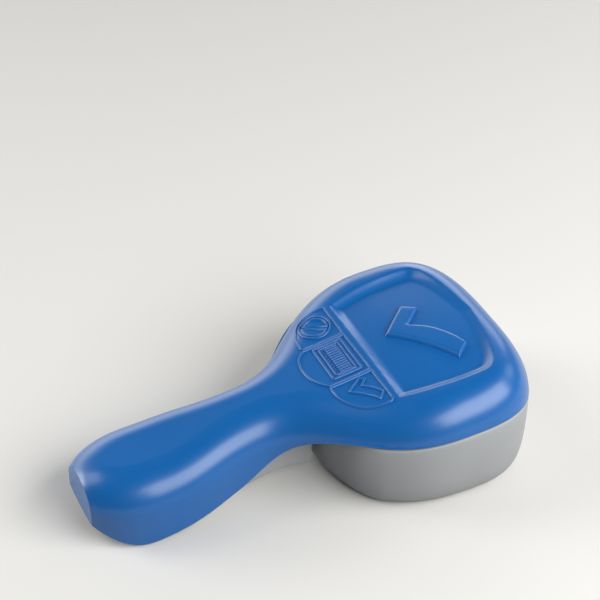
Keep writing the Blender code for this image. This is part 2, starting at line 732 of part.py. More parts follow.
def make_trigger():
    axis = (PIVOT_X, 0, PIVOT_Z)
    mesh = side_profile("trigger", trigger_side(), TRIGGER_WIDTH / 2)
    trigger = place("trigger", mesh, GREY, axis)
    modify(trigger, "BEVEL", width=0.0008, segments=2, limit_method="ANGLE", angle_limit=math.radians(50))
    hollow = side_profile("trigger_hollow", trigger_side(TRIGGER_WALL), TRIGGER_WIDTH / 2 - TRIGGER_WALL)
    cut(trigger, place("trigger_hollow", hollow, location=axis))
    inner = TRIGGER_WIDTH / 2 - TRIGGER_WALL / 2
    press_top = float(rim(SWITCH_X)) + TRIGGER_TUCK
    rib = ((SWITCH_X - RIB_WALL, -inner, float(trigger_edge(SWITCH_X)) + TRIGGER_WALL / 2),
           (SWITCH_X + RIB_WALL, inner, press_top))
    join(trigger, boxes("trigger_rib", [rib]))
    seat_foot = float(trigger_edge(SPRING_X)) + TRIGGER_WALL / 2
    seat = [((SPRING_X, 0), POST_RADIUS + RIB_WALL, seat_foot, SPRING_SEAT_Z)]
    join(trigger, cylinders("spring_seat", seat))
    bore = [((PIVOT_X, PIVOT_Z), PIN_RADIUS + PIN_GAP, -TRIGGER_WIDTH, TRIGGER_WIDTH)]
    cut(trigger, cylinders("trigger_bore", bore, axis="y"))
    pin = [((0, 0), PIN_RADIUS, -ear_reach + FIT, ear_reach - FIT)]
    cylinders("trigger_pin", pin, STEEL, axis="y").location = axis
    coil(
        "trigger_spring", (SPRING_RADIUS, SPRING_RADIUS), SPRING_LENGTH, SPRING_TURNS, SPRING_WIRE, STEEL,
        (SPRING_X, 0, SPRING_SEAT_Z + FIT),
    )
    return press_top


def make_board(press_top):
    top = BOARD_Z + BOARD_THICKNESS
    board = boxes("circuit_board", [(
        (BOARD_REAR_X, -BOARD_WIDTH / 2, BOARD_Z), (BOARD_FRONT_X, BOARD_WIDTH / 2, top)
    )], BOARD_GREEN)
    holes = [(middle, SCREW_RADIUS, BOARD_Z - 0.001, top + 0.001) for middle in board_bosses]
    cut(board, cylinders("board_holes", holes, sides=12))
    under = BOARD_Z - FIT
    long, wide, tall = SWITCH_SIZE
    body = boxes("switch_body", [(
        (SWITCH_X - long / 2, -wide / 2, under - tall), (SWITCH_X + long / 2, wide / 2, under)
    )], BLACK)
    bore = [((SWITCH_X, 0), PLUNGER_RADIUS + FIT, under - tall - 0.001, under - tall + PLUNGER_DEPTH)]
    cut(body, cylinders("switch_bore", bore))
    plunger_low = press_top + FIT
    travel = trigger_travel_arm * math.sin(math.radians(TRIGGER_SWING))
    plunger_high = under - tall + PLUNGER_DEPTH - travel - FIT
    cylinders("switch_plunger", [((SWITCH_X, 0), PLUNGER_RADIUS, plunger_low, plunger_high)], WHITE)
    chip_x = BOARD_REAR_X + 0.009 + CHIP_RADIUS
    r, h = CHIP_RADIUS, CHIP_HEIGHT
    blob = [(0, 0), (r, 0), (0.92 * r, -0.45 * h), (0.6 * r, -0.85 * h), (0, -h)]
    turned("sound_chip", blob, BLACK, (chip_x, -BOARD_WIDTH / 4, under))
    can = [((BOARD_REAR_X + 0.010, BOARD_WIDTH / 4), CAPACITOR_RADIUS, under - CAPACITOR_LENGTH, under)]
    cylinders("capacitor", can, STEEL)


def make_cells():
    """Two cells lying head to tail across the base, plates at their ends and springs at their flat ends."""
    wall = bay_half - FIT
    plate_low, plate_high = DOOR_THICKNESS + 2 * FIT, BAY_HEIGHT - 0.001
    for number, (x, side) in enumerate(zip(cell_x, (1, -1)), start=1):
        tip = side * (wall - CONTACT_THICKNESS - FIT)
        r, nub, neck = CELL_RADIUS, CELL_NUB_RADIUS, CELL_NUB_LENGTH
        cell = turned(f"battery_cell_{number}", [
            (0, 0), (nub, 0), (nub, -neck), (0.9 * r, -neck), (r, -1.6 * neck), (r, neck - CELL_LENGTH),
            (0.9 * r, -CELL_LENGTH), (0, -CELL_LENGTH),
        ], CELL_SLEEVE, (x, tip, cell_z))
        cell.rotation_euler = (-side * math.pi / 2, 0, 0)
        base = -side * (wall - CONTACT_THICKNESS - FIT)
        coil(
            f"cell_spring_{number}", CONTACT_SPRING_RADII, CONTACT_SPRING_LENGTH - FIT, CONTACT_SPRING_TURNS,
            CONTACT_SPRING_WIRE, STEEL, (x, base, cell_z), along_y=side,
        )
    reach = 0.75 * CELL_RADIUS
    for name, side, ends in (
        ("contact_plate_front", 1, ((cell_x[0],), (cell_x[1],))),
        ("contact_plate_bridge", -1, (cell_x,)),
    ):
        for number, xs in enumerate(ends, start=1):
            near, far = sorted((side * wall, side * (wall - CONTACT_THICKNESS)))
            label = f"{name}_{number}" if len(ends) > 1 else name
            boxes(label, [((min(xs) - reach, near, plate_low), (max(xs) + reach, far, plate_high))], STEEL)

    edge = FIT + RUNNING_GAP
    boxes("battery_door", [(
        (bay_rear + edge, -bay_half + edge, 0), (bay_front - edge, bay_half - edge, DOOR_THICKNESS)
    )], GREY)


def make_lamp():
    long, wide = WINDOW_LENGTH / 2, WINDOW_WIDTH / 2
    low, seat = WINDOW_RECESS, BASE_WALL + FIT
    flange_top = seat + 0.0012
    window = boxes("scan_window", [(
        (window_x - long + FIT, -wide + FIT, low), (window_x + long - FIT, wide - FIT, seat + 0.0004)
    )], RED_CLEAR)
    flange = boxes("window_flange", [(
        (window_x - long - WINDOW_FLANGE, -wide - WINDOW_FLANGE, seat),
        (window_x + long + WINDOW_FLANGE, wide + WINDOW_FLANGE, flange_top),
    )])
    join(window, flange)
    foot = flange_top + FIT
    top = foot + HOOD_HEIGHT

    def frame_ring(half_x, half_y, z):
        return [(window_x - half_x, -half_y, z), (window_x + half_x, -half_y, z),
                (window_x + half_x, half_y, z), (window_x - half_x, half_y, z)]

    side = HOOD_TOP_SIDE / 2
    hood = loft("lamp_hood", [
        frame_ring(long + WINDOW_FLANGE / 2, wide + WINDOW_FLANGE / 2, foot),
        frame_ring(side, side, top),
    ], WHITE, cap_end=True)
    modify(hood, "SOLIDIFY", thickness=HOOD_WALL, offset=-1, use_even_offset=True)
    below = [((window_x - 2 * long, -2 * wide, 0), (window_x + 2 * long, 2 * wide, foot))]
    cut(hood, boxes("hood_trim", below))
    cut(hood, cylinders("lamp_hole", [((window_x, 0), LAMP_RADIUS + FIT / 2, top - 0.004, top + 0.004)]))
    r, dome = LAMP_RADIUS, LAMP_LENGTH - LAMP_RADIUS
    profile = [(0, 0.001), (LAMP_FLANGE_RADIUS, 0.001), (LAMP_FLANGE_RADIUS, 0), (r, 0)]
    for angle in np.linspace(0, math.pi / 2, 5)[:-1]:
        profile.append((r * math.cos(angle), -dome - r * math.sin(angle)))
    profile.append((0, -LAMP_LENGTH))
    turned("lamp", profile, RED_CLEAR, (window_x, 0, top + FIT))


def make_speaker():
    """A small speaker that faces down through the grille: steel basket, paper cone and magnet."""
    seat = BASE_WALL + FIT
    r, h = SPEAKER_RADIUS, SPEAKER_HEIGHT
    sheet = 0.0008
    middle = (window_x, speaker_y, seat)
    turned("speaker_basket", [
        (0, h), (0.6 * r, h), (0.88 * r, 0.0012), (r, 0.0012), (r, 0), (0.8 * r, 0), (0.8 * r, 0.0007),
        (0.54 * r, h - sheet), (0, h - sheet),
    ], STEEL, middle)
    turned("speaker_cone", [
        (0, 0.72 * h), (0.22 * r, 0.72 * h), (0.76 * r, 0.0009), (0.76 * r, 0.0004),
        (0.22 * r, 0.62 * h), (0, 0.62 * h),
    ], PAPER, middle)
    magnet = [((window_x, speaker_y), MAGNET_RADIUS, seat + h + FIT, seat + h + FIT + MAGNET_HEIGHT)]
    cylinders("speaker_magnet", magnet, STEEL)


make_upper_shell()
make_lower_housing()
make_board(make_trigger())
make_cells()
make_lamp()
make_speaker()
for piece in parts.objects:
    if piece.type == "MESH" and piece.name in ("upper_shell", "lower_housing", "trigger"):
        smooth(piece)
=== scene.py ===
# %% [markdown]
# # A toy hand scanner, dressed in Blender
#
# The imported model gives every piece its place and its joints. This lesson builds the surfaces that
# show: the smooth blue top with its moulded signs, the satin grey base, the trigger and the small
# pieces underneath. First the model is loaded as a fixed frame, and its box is kept.

# %% Load the frame
import json
import math

import bmesh
import bpy
import numpy as np
from mathutils import Matrix, Vector, kdtree
from mathutils.geometry import delaunay_2d_cdt


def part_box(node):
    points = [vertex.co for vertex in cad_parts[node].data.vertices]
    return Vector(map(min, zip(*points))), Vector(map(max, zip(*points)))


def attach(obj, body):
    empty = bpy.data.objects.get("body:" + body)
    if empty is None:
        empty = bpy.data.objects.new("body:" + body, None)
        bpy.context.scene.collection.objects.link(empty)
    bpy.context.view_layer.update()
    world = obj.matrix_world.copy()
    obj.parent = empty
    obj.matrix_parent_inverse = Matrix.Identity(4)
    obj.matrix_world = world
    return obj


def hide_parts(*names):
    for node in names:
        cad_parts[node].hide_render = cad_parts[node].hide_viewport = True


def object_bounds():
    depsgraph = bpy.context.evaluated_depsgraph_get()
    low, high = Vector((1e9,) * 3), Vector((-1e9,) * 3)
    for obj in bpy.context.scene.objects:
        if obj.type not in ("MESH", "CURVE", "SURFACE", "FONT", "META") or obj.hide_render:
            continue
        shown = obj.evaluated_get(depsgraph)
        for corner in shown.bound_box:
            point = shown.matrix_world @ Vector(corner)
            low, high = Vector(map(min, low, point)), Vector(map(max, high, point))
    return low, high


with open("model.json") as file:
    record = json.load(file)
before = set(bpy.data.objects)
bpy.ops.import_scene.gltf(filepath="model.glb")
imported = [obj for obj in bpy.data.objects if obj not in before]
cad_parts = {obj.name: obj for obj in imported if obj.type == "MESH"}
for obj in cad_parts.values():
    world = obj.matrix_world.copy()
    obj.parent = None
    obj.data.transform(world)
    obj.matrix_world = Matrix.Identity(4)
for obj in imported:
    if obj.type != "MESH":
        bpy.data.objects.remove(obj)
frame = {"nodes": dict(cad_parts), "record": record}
cad_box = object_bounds()
scene = bpy.context.scene


def in_mm(lengths):
    """Lengths in millimetres, rounded for printing."""
    return [round(1000 * float(length), 1) for length in lengths]


print("CAD box in mm:", [in_mm(corner) for corner in cad_box])

# %% [markdown]
# ## The camera
#
# The camera stands where the photograph was taken from. Its place, its turn and its lens come from
# fitting the object's outline, so a render can be laid over the photograph. The Standard view shows
# colours as they are, with no film curve over them.

# %% Place the camera
CAMERA_PLACE = (-0.21124, -0.47035, 0.46106)
CAMERA_AZIMUTH, CAMERA_ELEVATION = math.radians(-24.43), math.radians(36.92)
LENS, SENSOR, NEAREST = 111.66, 36, 0.01


def linked(name, data):
    """A new object for some data, put in the scene."""
    made = bpy.data.objects.new(name, data)
    scene.collection.objects.link(made)
    return made


def aim(piece, place, direction):
    """Puts a camera or a lamp at a place, looking in a direction."""
    piece.location = place
    piece.rotation_mode = "QUATERNION"
    piece.rotation_quaternion = Vector(direction).to_track_quat("-Z", "Y")


camera = linked("camera", bpy.data.cameras.new("camera"))
scene.camera = camera
camera.data.lens, camera.data.sensor_width, camera.data.clip_start = LENS, SENSOR, NEAREST
aim(camera, CAMERA_PLACE, (
    -math.sin(CAMERA_AZIMUTH) * math.cos(CAMERA_ELEVATION),
    math.cos(CAMERA_AZIMUTH) * math.cos(CAMERA_ELEVATION),
    -math.sin(CAMERA_ELEVATION),
))
scene.view_settings.view_transform = "Standard"
print("camera:", round(1000 * camera.location.length), "mm from the frame's origin")

# %% [markdown]
# ## Shader expressions
#
# A material is a small sum of textures. Written as nodes it takes many lines, so one class wraps a
# socket and lets Python's own operators add the Math nodes. Every other node comes from `add`, which
# takes the node's type, its settings and the values or links of its sockets. The work is done by
# `grow`, because the trees of Geometry Nodes further down need the same.

# %% One function for every node
def grow(tree, kind, settings=None, **inputs):
    """A new node, with its settings made first and then its inputs, by name or as i0, i1 and so on.

    An input takes a value, a socket, a node, which stands for its first output, or a list of these.
    """
    node = tree.nodes.new(kind)
    for key, value in (settings or {}).items():
        setattr(node, key, value)
    for key, values in inputs.items():
        socket = node.inputs[int(key[1:]) if key[1:].isdigit() else key.replace("_", " ")]
        for value in values if isinstance(values, list) else [values]:
            if isinstance(value, bpy.types.Node):
                value = value.outputs[0]
            if isinstance(value, bpy.types.NodeSocket):
                tree.links.new(value, socket)
            else:
                socket.default_value = value
    return node


# %% A class for shader maths
class Sock:
    """A shader socket that Python's operators can be used on."""

    def __init__(self, tree, socket):
        self.tree = tree
        self.socket = socket

    def add(self, kind, out=0, settings=None, **inputs):
        """A new shader node in this socket's tree, by one of its outputs."""
        plain = {key: getattr(value, "socket", value) for key, value in inputs.items()}
        return Sock(self.tree, grow(self.tree, "ShaderNode" + kind, settings, **plain).outputs[out])

    def math(self, operation, first, second):
        return self.add("Math", settings={"operation": operation}, i0=first, i1=second)

    def __add__(self, other):
        return self.math("ADD", self, other)

    def __radd__(self, other):
        return self.math("ADD", other, self)

    def __sub__(self, other):
        return self.math("SUBTRACT", self, other)

    def __rsub__(self, other):
        return self.math("SUBTRACT", other, self)

    def __mul__(self, other):
        return self.math("MULTIPLY", self, other)

    def __rmul__(self, other):
        return self.math("MULTIPLY", other, self)

    def mix(self, low, high):
        """A colour between two, with this socket as the factor."""
        low, high = (c if isinstance(c, Sock) else (*c, 1) for c in (low, high))
        return self.add("Mix", out=2, settings={"data_type": "RGBA"}, i0=self, i6=low, i7=high)

    def noise(self, scale, detail=2.0, roughness=0.5):
        """Noise over the object, with this many grains to a metre."""
        return self.add("TexNoise", Vector=self, Scale=scale, Detail=detail, Roughness=roughness)

    def bump(self, distance, strength):
        return self.add("Bump", Height=self, Distance=distance, Strength=strength)


# %% New finishes
def finish(name, colour, roughness, metallic=0.0, **fixed):
    """A new material with even values, and a socket of its Object coordinates to build on."""
    made = bpy.data.materials.new(name)
    made.use_nodes = True
    made.diffuse_color = (*colour, 1)
    shader = made.node_tree.nodes["Principled BSDF"]
    even = {"Base_Color": (*colour, 1), "Roughness": roughness, "Metallic": metallic, **fixed}
    for key, value in even.items():
        shader.inputs[key.replace("_", " ")].default_value = value
    place = made.node_tree.nodes.new("ShaderNodeTexCoord")
    return made, shader, Sock(made.node_tree, place.outputs["Object"])


def feed(shader, **sockets):
    """Links sockets to a shader's inputs by name."""
    for key, value in sockets.items():
        value.tree.links.new(value.socket, shader.inputs[key.replace("_", " ")])


# %% [markdown]
# ## The blue plastic
#
# The top is moulded in a strong blue. It is smooth and semi-gloss: the highlights are broad and soft,
# so the roughness is fairly high. A faint cloud of lighter and darker blue, small swings of the
# roughness, and a very low ripple keep it from looking like a flat colour.

# %% Blue plastic
BLUE, BLUE_LIGHT = (0.0020, 0.112, 0.385), (0.0036, 0.128, 0.424)
BLUE_ROUGHNESS, BLUE_SWING, COAT, COAT_ROUGHNESS = 0.30, 0.07, 0.35, 0.22
CLOUDS, SHEEN_CLOUDS, RIPPLES, FINE_RIPPLES = 38, 260, 420, 2600
FINE_SHARE, RIPPLE_HEIGHT, RIPPLE_STRENGTH = 0.35, 0.00005, 0.30

blue, shader, spot = finish(
    "blue_plastic", BLUE, BLUE_ROUGHNESS, Coat_Weight=COAT, Coat_Roughness=COAT_ROUGHNESS
)
ripple = spot.noise(RIPPLES) + FINE_SHARE * spot.noise(FINE_RIPPLES)
feed(
    shader, Base_Color=spot.noise(CLOUDS, detail=3).mix(BLUE, BLUE_LIGHT),
    Roughness=BLUE_ROUGHNESS + BLUE_SWING * spot.noise(SHEEN_CLOUDS, detail=3),
    Normal=ripple.bump(RIPPLE_HEIGHT, RIPPLE_STRENGTH),
)
print("blue plastic:", len(blue.node_tree.nodes), "nodes")

# %% [markdown]
# ## The grey plastic
#
# The base and the trigger are a silver-grey plastic with a fine mould grain, which breaks up the
# light, so that they look satin beside the blue. The grain is a small noise, a third of a millimetre
# wide, that feeds the bump and the roughness. It also tints the colour, together with a broad cloud.

# %% Grey plastic
GREY, GREY_LIGHT = (0.340, 0.352, 0.364), (0.430, 0.444, 0.456)
GREY_ROUGHNESS, GREY_SWING = 0.46, 0.14
GRAINS, GRAIN_ROUGHNESS, GREY_CLOUDS, GRAIN_SHARE = 3000, 0.6, 60, 0.65
GRAIN_HEIGHT, GRAIN_STRENGTH = 0.00008, 0.35

grey, shader, spot = finish("grey_plastic", GREY, GREY_ROUGHNESS)
grain = spot.noise(GRAINS, roughness=GRAIN_ROUGHNESS)
tint = GRAIN_SHARE * grain + (1 - GRAIN_SHARE) * spot.noise(GREY_CLOUDS)
feed(
    shader, Base_Color=tint.mix(GREY, GREY_LIGHT), Roughness=GREY_ROUGHNESS + GREY_SWING * grain,
    Normal=grain.bump(GRAIN_HEIGHT, GRAIN_STRENGTH),
)
print("grey plastic:", len(grey.node_tree.nodes), "nodes")

# %% [markdown]
# ## The finishes underneath and inside
#
# The rest shows only from below, through gaps, or when the object is taken apart: the red window,
# plated steel, the board, white and black plastic, the cells' film and the speaker's paper. Each has
# its own small grain, so one function makes them all from a table.

# %% Small finishes
SMALL_SWING, SMALL_STRENGTH = 0.12, 0.4
SMALL_FINISHES = {  # colour, lighter colour, roughness, metallic, grains to a metre, height of a grain
    "red_window": ((0.42, 0.008, 0.010), (0.50, 0.014, 0.014), 0.14, 0.0, 90, 0.00003),
    "white_plastic": ((0.70, 0.70, 0.67), (0.78, 0.78, 0.75), 0.48, 0.0, 900, 0.00004),
    "black_plastic": ((0.012, 0.012, 0.013), (0.022, 0.022, 0.023), 0.45, 0.0, 900, 0.00004),
    "board_green": ((0.016, 0.105, 0.035), (0.024, 0.140, 0.048), 0.38, 0.0, 400, 0.00004),
    "steel": ((0.55, 0.55, 0.57), (0.66, 0.66, 0.68), 0.30, 1.0, 1500, 0.00003),
    "cell_sleeve": ((0.025, 0.025, 0.028), (0.045, 0.045, 0.048), 0.33, 0.0, 300, 0.00002),
    "speaker_paper": ((0.045, 0.040, 0.036), (0.075, 0.068, 0.060), 0.80, 0.0, 2500, 0.00010),
}


def grained(name, colour, lighter, roughness, metallic, scale, height):
    """A finish whose colour, roughness and bump share one noise."""
    made, shader, spot = finish(name, colour, roughness, metallic)
    grain = spot.noise(scale, detail=3)
    feed(
        shader, Base_Color=grain.mix(colour, lighter), Roughness=roughness + SMALL_SWING * (grain - 0.5),
        Normal=grain.bump(height, SMALL_STRENGTH),
    )
    return made


finishes = {"blue_plastic": blue, "grey_plastic": grey}
for slot, values in SMALL_FINISHES.items():
    finishes[slot] = grained(slot, *values)
for part in frame["record"]["subparts"]:
    node = frame["nodes"][part["node"]]
    node.data.materials.clear()
    node.data.materials.append(finishes[part["material_slot"]])
print(len(finishes), "finishes on", len(frame["nodes"]), "CAD nodes")

# %% [markdown]
# ## The lines that shape the blue top
#
# The blue top is one smooth form: a plan outline, a crown line along its back, a lower rim, and a
# round shoulder between them. They are the same numbers as in the CAD source, measured from the butt
# of the grip, so the visible skin lies where the solid lies. A smooth curve through a few stations
# is enough for each line.

# %% Stations of the blue top
LENGTH = 0.165
BUTT_WIDTH, BUTT_REACH, BUTT_OVERHANG, BUTT_SQUARENESS = 0.0418, 0.0240, 0.0040, 2.23
NECK_X, NECK_WIDTH = 0.0637, 0.0318
HEAD_X, HEAD_WIDTH, HEAD_SQUARENESS = 0.1279, 0.0964, 3.0
CROWN = (
    (0.0, 0.0264), (0.023, 0.0275), (0.064, 0.0358),
    (0.096, 0.0402), (0.128, 0.0460), (0.165, 0.0487),
)
RIM = (
    (0.0, 0.0090), (0.0169, 0.0007), (0.0257, 0.0018), (0.0532, 0.0090),
    (0.077, 0.0242), (0.0972, 0.0300), (0.165, 0.0320),
)
SHOULDER_REACH = ((0.0, 0.0140), (0.064, 0.0139), (0.101, 0.0137), (0.165, 0.0150))
SHOULDER_DROP = ((0.0, 0.0127), (0.064, 0.0143), (0.101, 0.0141), (0.165, 0.0170))
RIM_EDGE = 0.0005
TO_ROW = np.array((-LENGTH / 2, 0, 0))


def smooth_curve(stations):
    """A smooth line through (place, value) stations that doesn't overshoot them."""
    places, values = np.array(stations).T
    steps = np.diff(places)
    slopes = np.diff(values) / steps
    tangents = np.zeros(len(places))
    for i in range(1, len(steps)):
        if slopes[i - 1] * slopes[i] > 0:
            tangents[i] = 2 * slopes[i - 1] * slopes[i] / (slopes[i - 1] + slopes[i])
    for end, near in ((0, 1), (-1, -2)):
        far_share = steps[end] / (steps[end] + steps[near])
        tangents[end] = (1 + far_share) * slopes[end] - far_share * slopes[near]

    def value(at):
        at = np.clip(at, places[0], places[-1])
        i = np.clip(np.searchsorted(places, at) - 1, 0, len(steps) - 1)
        t = (at - places[i]) / steps[i]
        rise = (3 - 2 * t) * t * t
        start = t * (1 - t) ** 2 * steps[i] * tangents[i]
        end = t * t * (t - 1) * steps[i] * tangents[i + 1]
        return values[i] + (values[i + 1] - values[i]) * rise + start + end

    return value


crown, rim = smooth_curve(CROWN), smooth_curve(RIM)
shoulder_reach, shoulder_drop = smooth_curve(SHOULDER_REACH), smooth_curve(SHOULDER_DROP)
print("rim and crown at the neck in mm:", in_mm((rim(NECK_X), crown(NECK_X))))

# %% [markdown]
# The plan outline joins two squarish arcs, the butt and the head's front, by smooth sides. It is
# worked out very finely and then spaced evenly, so that the faces built on it are even too. Half is
# enough, because the outline is the same on both sides.

# %% Plan outline
ARC_POINTS, GRIP_POINTS, FLARE_POINTS = 480, 360, 540
GRIP_HANDLES, FLARE_HANDLES = (0.50, 0.39), (0.38, 0.58)


def bezier(start, first, second, end, count):
    """Points after the start of a cubic arc, up to and with its end."""
    t = np.linspace(0, 1, count + 1)[1:, None]
    weights = ((1 - t) ** 3, 3 * t * (1 - t) ** 2, 3 * t * t * (1 - t), t**3)
    return sum(w * np.array(p) for w, p in zip(weights, (start, first, second, end)))


def side_run(start, end, handles, count):
    """A side of the plan between two (place, half width) stations, along the length at both."""
    span = end[0] - start[0]
    first = (start[0] + handles[0] * span, start[1])
    second = (end[0] - handles[1] * span, end[1])
    return bezier(start, first, second, end, count)


def fine_outline():
    """Half of the plan, from the middle of the butt round to the middle of the front."""
    turn = np.linspace(0, math.pi / 2, ARC_POINTS + 1)[:, None]
    rise, run = np.sin(turn), np.cos(turn)
    butt, neck, head = BUTT_WIDTH / 2, NECK_WIDTH / 2, HEAD_WIDTH / 2
    power = 2 / BUTT_SQUARENESS
    butt_arc = np.hstack((BUTT_REACH - (BUTT_REACH + BUTT_OVERHANG) * run**power, butt * rise**power))
    grip = side_run((BUTT_REACH, butt), (NECK_X, neck), GRIP_HANDLES, GRIP_POINTS)
    flare = side_run((NECK_X, neck), (HEAD_X, head), FLARE_HANDLES, FLARE_POINTS)
    power = 2 / HEAD_SQUARENESS
    front = np.hstack((HEAD_X + (LENGTH - HEAD_X) * rise**power, head * run**power))[1:]
    front[-1, 1] = 0
    return np.vstack((butt_arc, grip, flare, front))


plan = fine_outline()
print("fine outline:", len(plan), "points on one side")

# %% Even points along the plan
END_STEPS, SIDE_STEPS = 64, 360
CORNER_HEADING = 45


def run_length(line):
    """The distance along a line to each of its points."""
    return np.concatenate(([0], np.cumsum(np.hypot(*np.diff(line, axis=0).T))))


def spaced(line, count):
    """A line's points moved to an even spacing."""
    along = run_length(line)
    at = np.linspace(0, along[-1], count + 1)
    return np.stack([np.interp(at, along, line[:, k]) for k in (0, 1)], axis=1)


def inset(half, distance):
    """A half outline moved inwards, square to itself."""
    along = np.gradient(half, axis=0)
    along[0], along[-1] = (0, 1), (0, -1)
    along /= np.linalg.norm(along, axis=1)[:, None]
    return half - distance * np.stack((-along[:, 1], along[:, 0]), axis=1)


def mirrored(half):
    """A whole loop from a half outline that starts and ends on the middle line."""
    return np.vstack((half, half[-2:0:-1] * (1, -1)))


heading = np.degrees(np.arctan2(*np.gradient(plan, axis=0).T[::-1]))
butt_corner = int(np.argmax(heading < CORNER_HEADING))
front_corner = int(np.argmax((plan[:, 0] > HEAD_X) & (heading < -CORNER_HEADING)))
half_plan = np.vstack((
    spaced(plan[: butt_corner + 1], END_STEPS),
    spaced(plan[butt_corner : front_corner + 1], SIDE_STEPS)[1:],
    spaced(plan[front_corner:], END_STEPS)[1:],
))
print("outline:", len(mirrored(half_plan)), "points")

# %% [markdown]
# ## The skin's height
#
# Over any point of the plan the skin stands at the crown line, less the drop of the shoulder near the
# edge. In the head there is a shallow dish, whose border starts at a crisp edge and eases into a floor
# that is a little higher in the middle than at the sides. All this is one height rule, so that every
# later piece, such as the moulded signs, can be set on the skin by the same rule.

# %% Skin without the dish
def point_tree(points):
    """A tree of plan points, which finds the nearest one quickly."""
    tree = kdtree.KDTree(len(points))
    for number, (x, y) in enumerate(points):
        tree.insert((x, y, 0), number)
    tree.balance()
    return tree


edge_tree = point_tree(np.vstack((plan, plan * (1, -1))))


def edge_distance(points):
    """How far inside the plan outline each point lies."""
    return np.array([edge_tree.find((x, y, 0))[2] for x, y in points])


def skin_height(points, depth=0.0, distance=None):
    """Height of the blue skin over plan points, or of the surface this deep under it."""
    x = points[:, 0]
    distance = edge_distance(points) if distance is None else distance
    inside = np.clip((distance - depth) / shoulder_reach(x), 0, 1)
    height = crown(x) - depth - shoulder_drop(x) * (1 - np.sqrt(1 - (1 - inside) ** 2))
    return np.maximum(height, rim(x) + RIM_EDGE)


print("skin over the neck in mm:", in_mm(skin_height(np.array([(NECK_X, 0)]))))

# %% The dish in the head
DISH_REAR_X, DISH_FRONT_X = 0.1100, 0.1537
DISH_REAR_HALF, DISH_HALF, DISH_WIDEST = 0.0290, 0.0325, 0.75
DISH_DEPTH, DISH_BORDER, DISH_EASE, DISH_DOME = 0.0013, 0.0040, 1.4, 0.0016
REAR_HANDLE, WIDE_HANDLE, SIDE_BOW = 0.010, 0.008, 0.001
CORNER_SETBACK, FRONT_SETBACK, FRONT_SHARE = 0.004, 0.002, 0.45
DISH_SIDE_POINTS, DISH_FRONT_POINTS = 40, 60


def dish_outline():
    """Half of the dish's plan: straight at the rear, bowed at the sides and the front."""
    rear, side, front = DISH_REAR_HALF, DISH_HALF, DISH_FRONT_X
    widest = DISH_REAR_X + DISH_WIDEST * (front - DISH_REAR_X)
    rear_line = np.linspace((DISH_REAR_X, 0), (DISH_REAR_X, rear), DISH_SIDE_POINTS)
    left = bezier(
        (DISH_REAR_X, rear), (DISH_REAR_X + REAR_HANDLE, side),
        (widest - WIDE_HANDLE, side + SIDE_BOW), (widest, side), DISH_SIDE_POINTS,
    )
    corner = bezier(
        (widest, side), (front - CORNER_SETBACK, side - SIDE_BOW),
        (front - FRONT_SETBACK, FRONT_SHARE * side), (front, 0), DISH_FRONT_POINTS,
    )
    return np.vstack((rear_line, left, corner))


dish = mirrored(dish_outline())
dish_tree = point_tree(dish)
print("dish:", len(dish), "points round its edge")


# %% How deep the dish is
def inside_dish(points):
    """Which points lie inside the dish's outline, by counting the outline's crossings ahead of them."""
    x, y = points[:, 0], points[:, 1]
    hits = np.zeros(len(points), int)
    for (ax, ay), (bx, by) in zip(dish, np.roll(dish, -1, axis=0)):
        spans = (ay > y) != (by > y)
        if spans.any():
            hits += spans & (x < ax + (y - ay) * (bx - ax) / (by - ay))
    return hits % 2 == 1


def dish_height(points):
    """How far the dish lowers the skin at each point."""
    lowered = np.zeros(len(points))
    near = np.flatnonzero(points[:, 0] > DISH_REAR_X)
    for i in near[inside_dish(points[near])]:
        share = min(dish_tree.find((*points[i], 0))[2] / DISH_BORDER, 1)
        depth = DISH_DEPTH + DISH_DOME * (points[i, 1] / DISH_HALF) ** 2
        lowered[i] = depth * (1 - (1 - share) ** DISH_EASE)
    return lowered


def at_height(points, height):
    """Plan points, measured from the butt, as places in the frame."""
    return np.hstack((points, np.broadcast_to(height, len(points))[:, None])) + TO_ROW


def on_skin(points, lift=0.0):
    """Plan points set on the skin, or this far over it."""
    return at_height(points, skin_height(points) - dish_height(points) + lift)


places = np.array([(HEAD_X, 0), (HEAD_X, DISH_HALF / 2)])
print("dish's depth in mm, in the middle and half way out:", in_mm(dish_height(places)))

# %% [markdown]
# ## The blue top
#
# The skin has two zones. A band of rings follows the outline over the shoulder, and inside it lies a
# net of four-sided faces stretched between the four sides of the band's inner loop, which is called a
# Coons patch. This keeps the faces even, with no pole in the middle of the dish. Inside the wall a
# plainer inner skin closes the shell, and four close rings round off the edge at the seam.

# %% Rings of the inner skin
SHELL_WALL, DISH_THINNING = 0.0020, 0.0005
DISH_ROOM = DISH_DEPTH + DISH_DOME - DISH_THINNING
RIDGE_REAR, RIDGE_FRONT = 0.4 * BUTT_WIDTH, LENGTH - 0.375 * HEAD_WIDTH
INNER_SHARES, DISH_SHARE, DISH_LEAD = (1.1, 0.6, 0.3, 0.1, 0.0), 0.3, 2
RIDGE_LIMIT, RIDGE_SPREAD = 0.6, 0.3


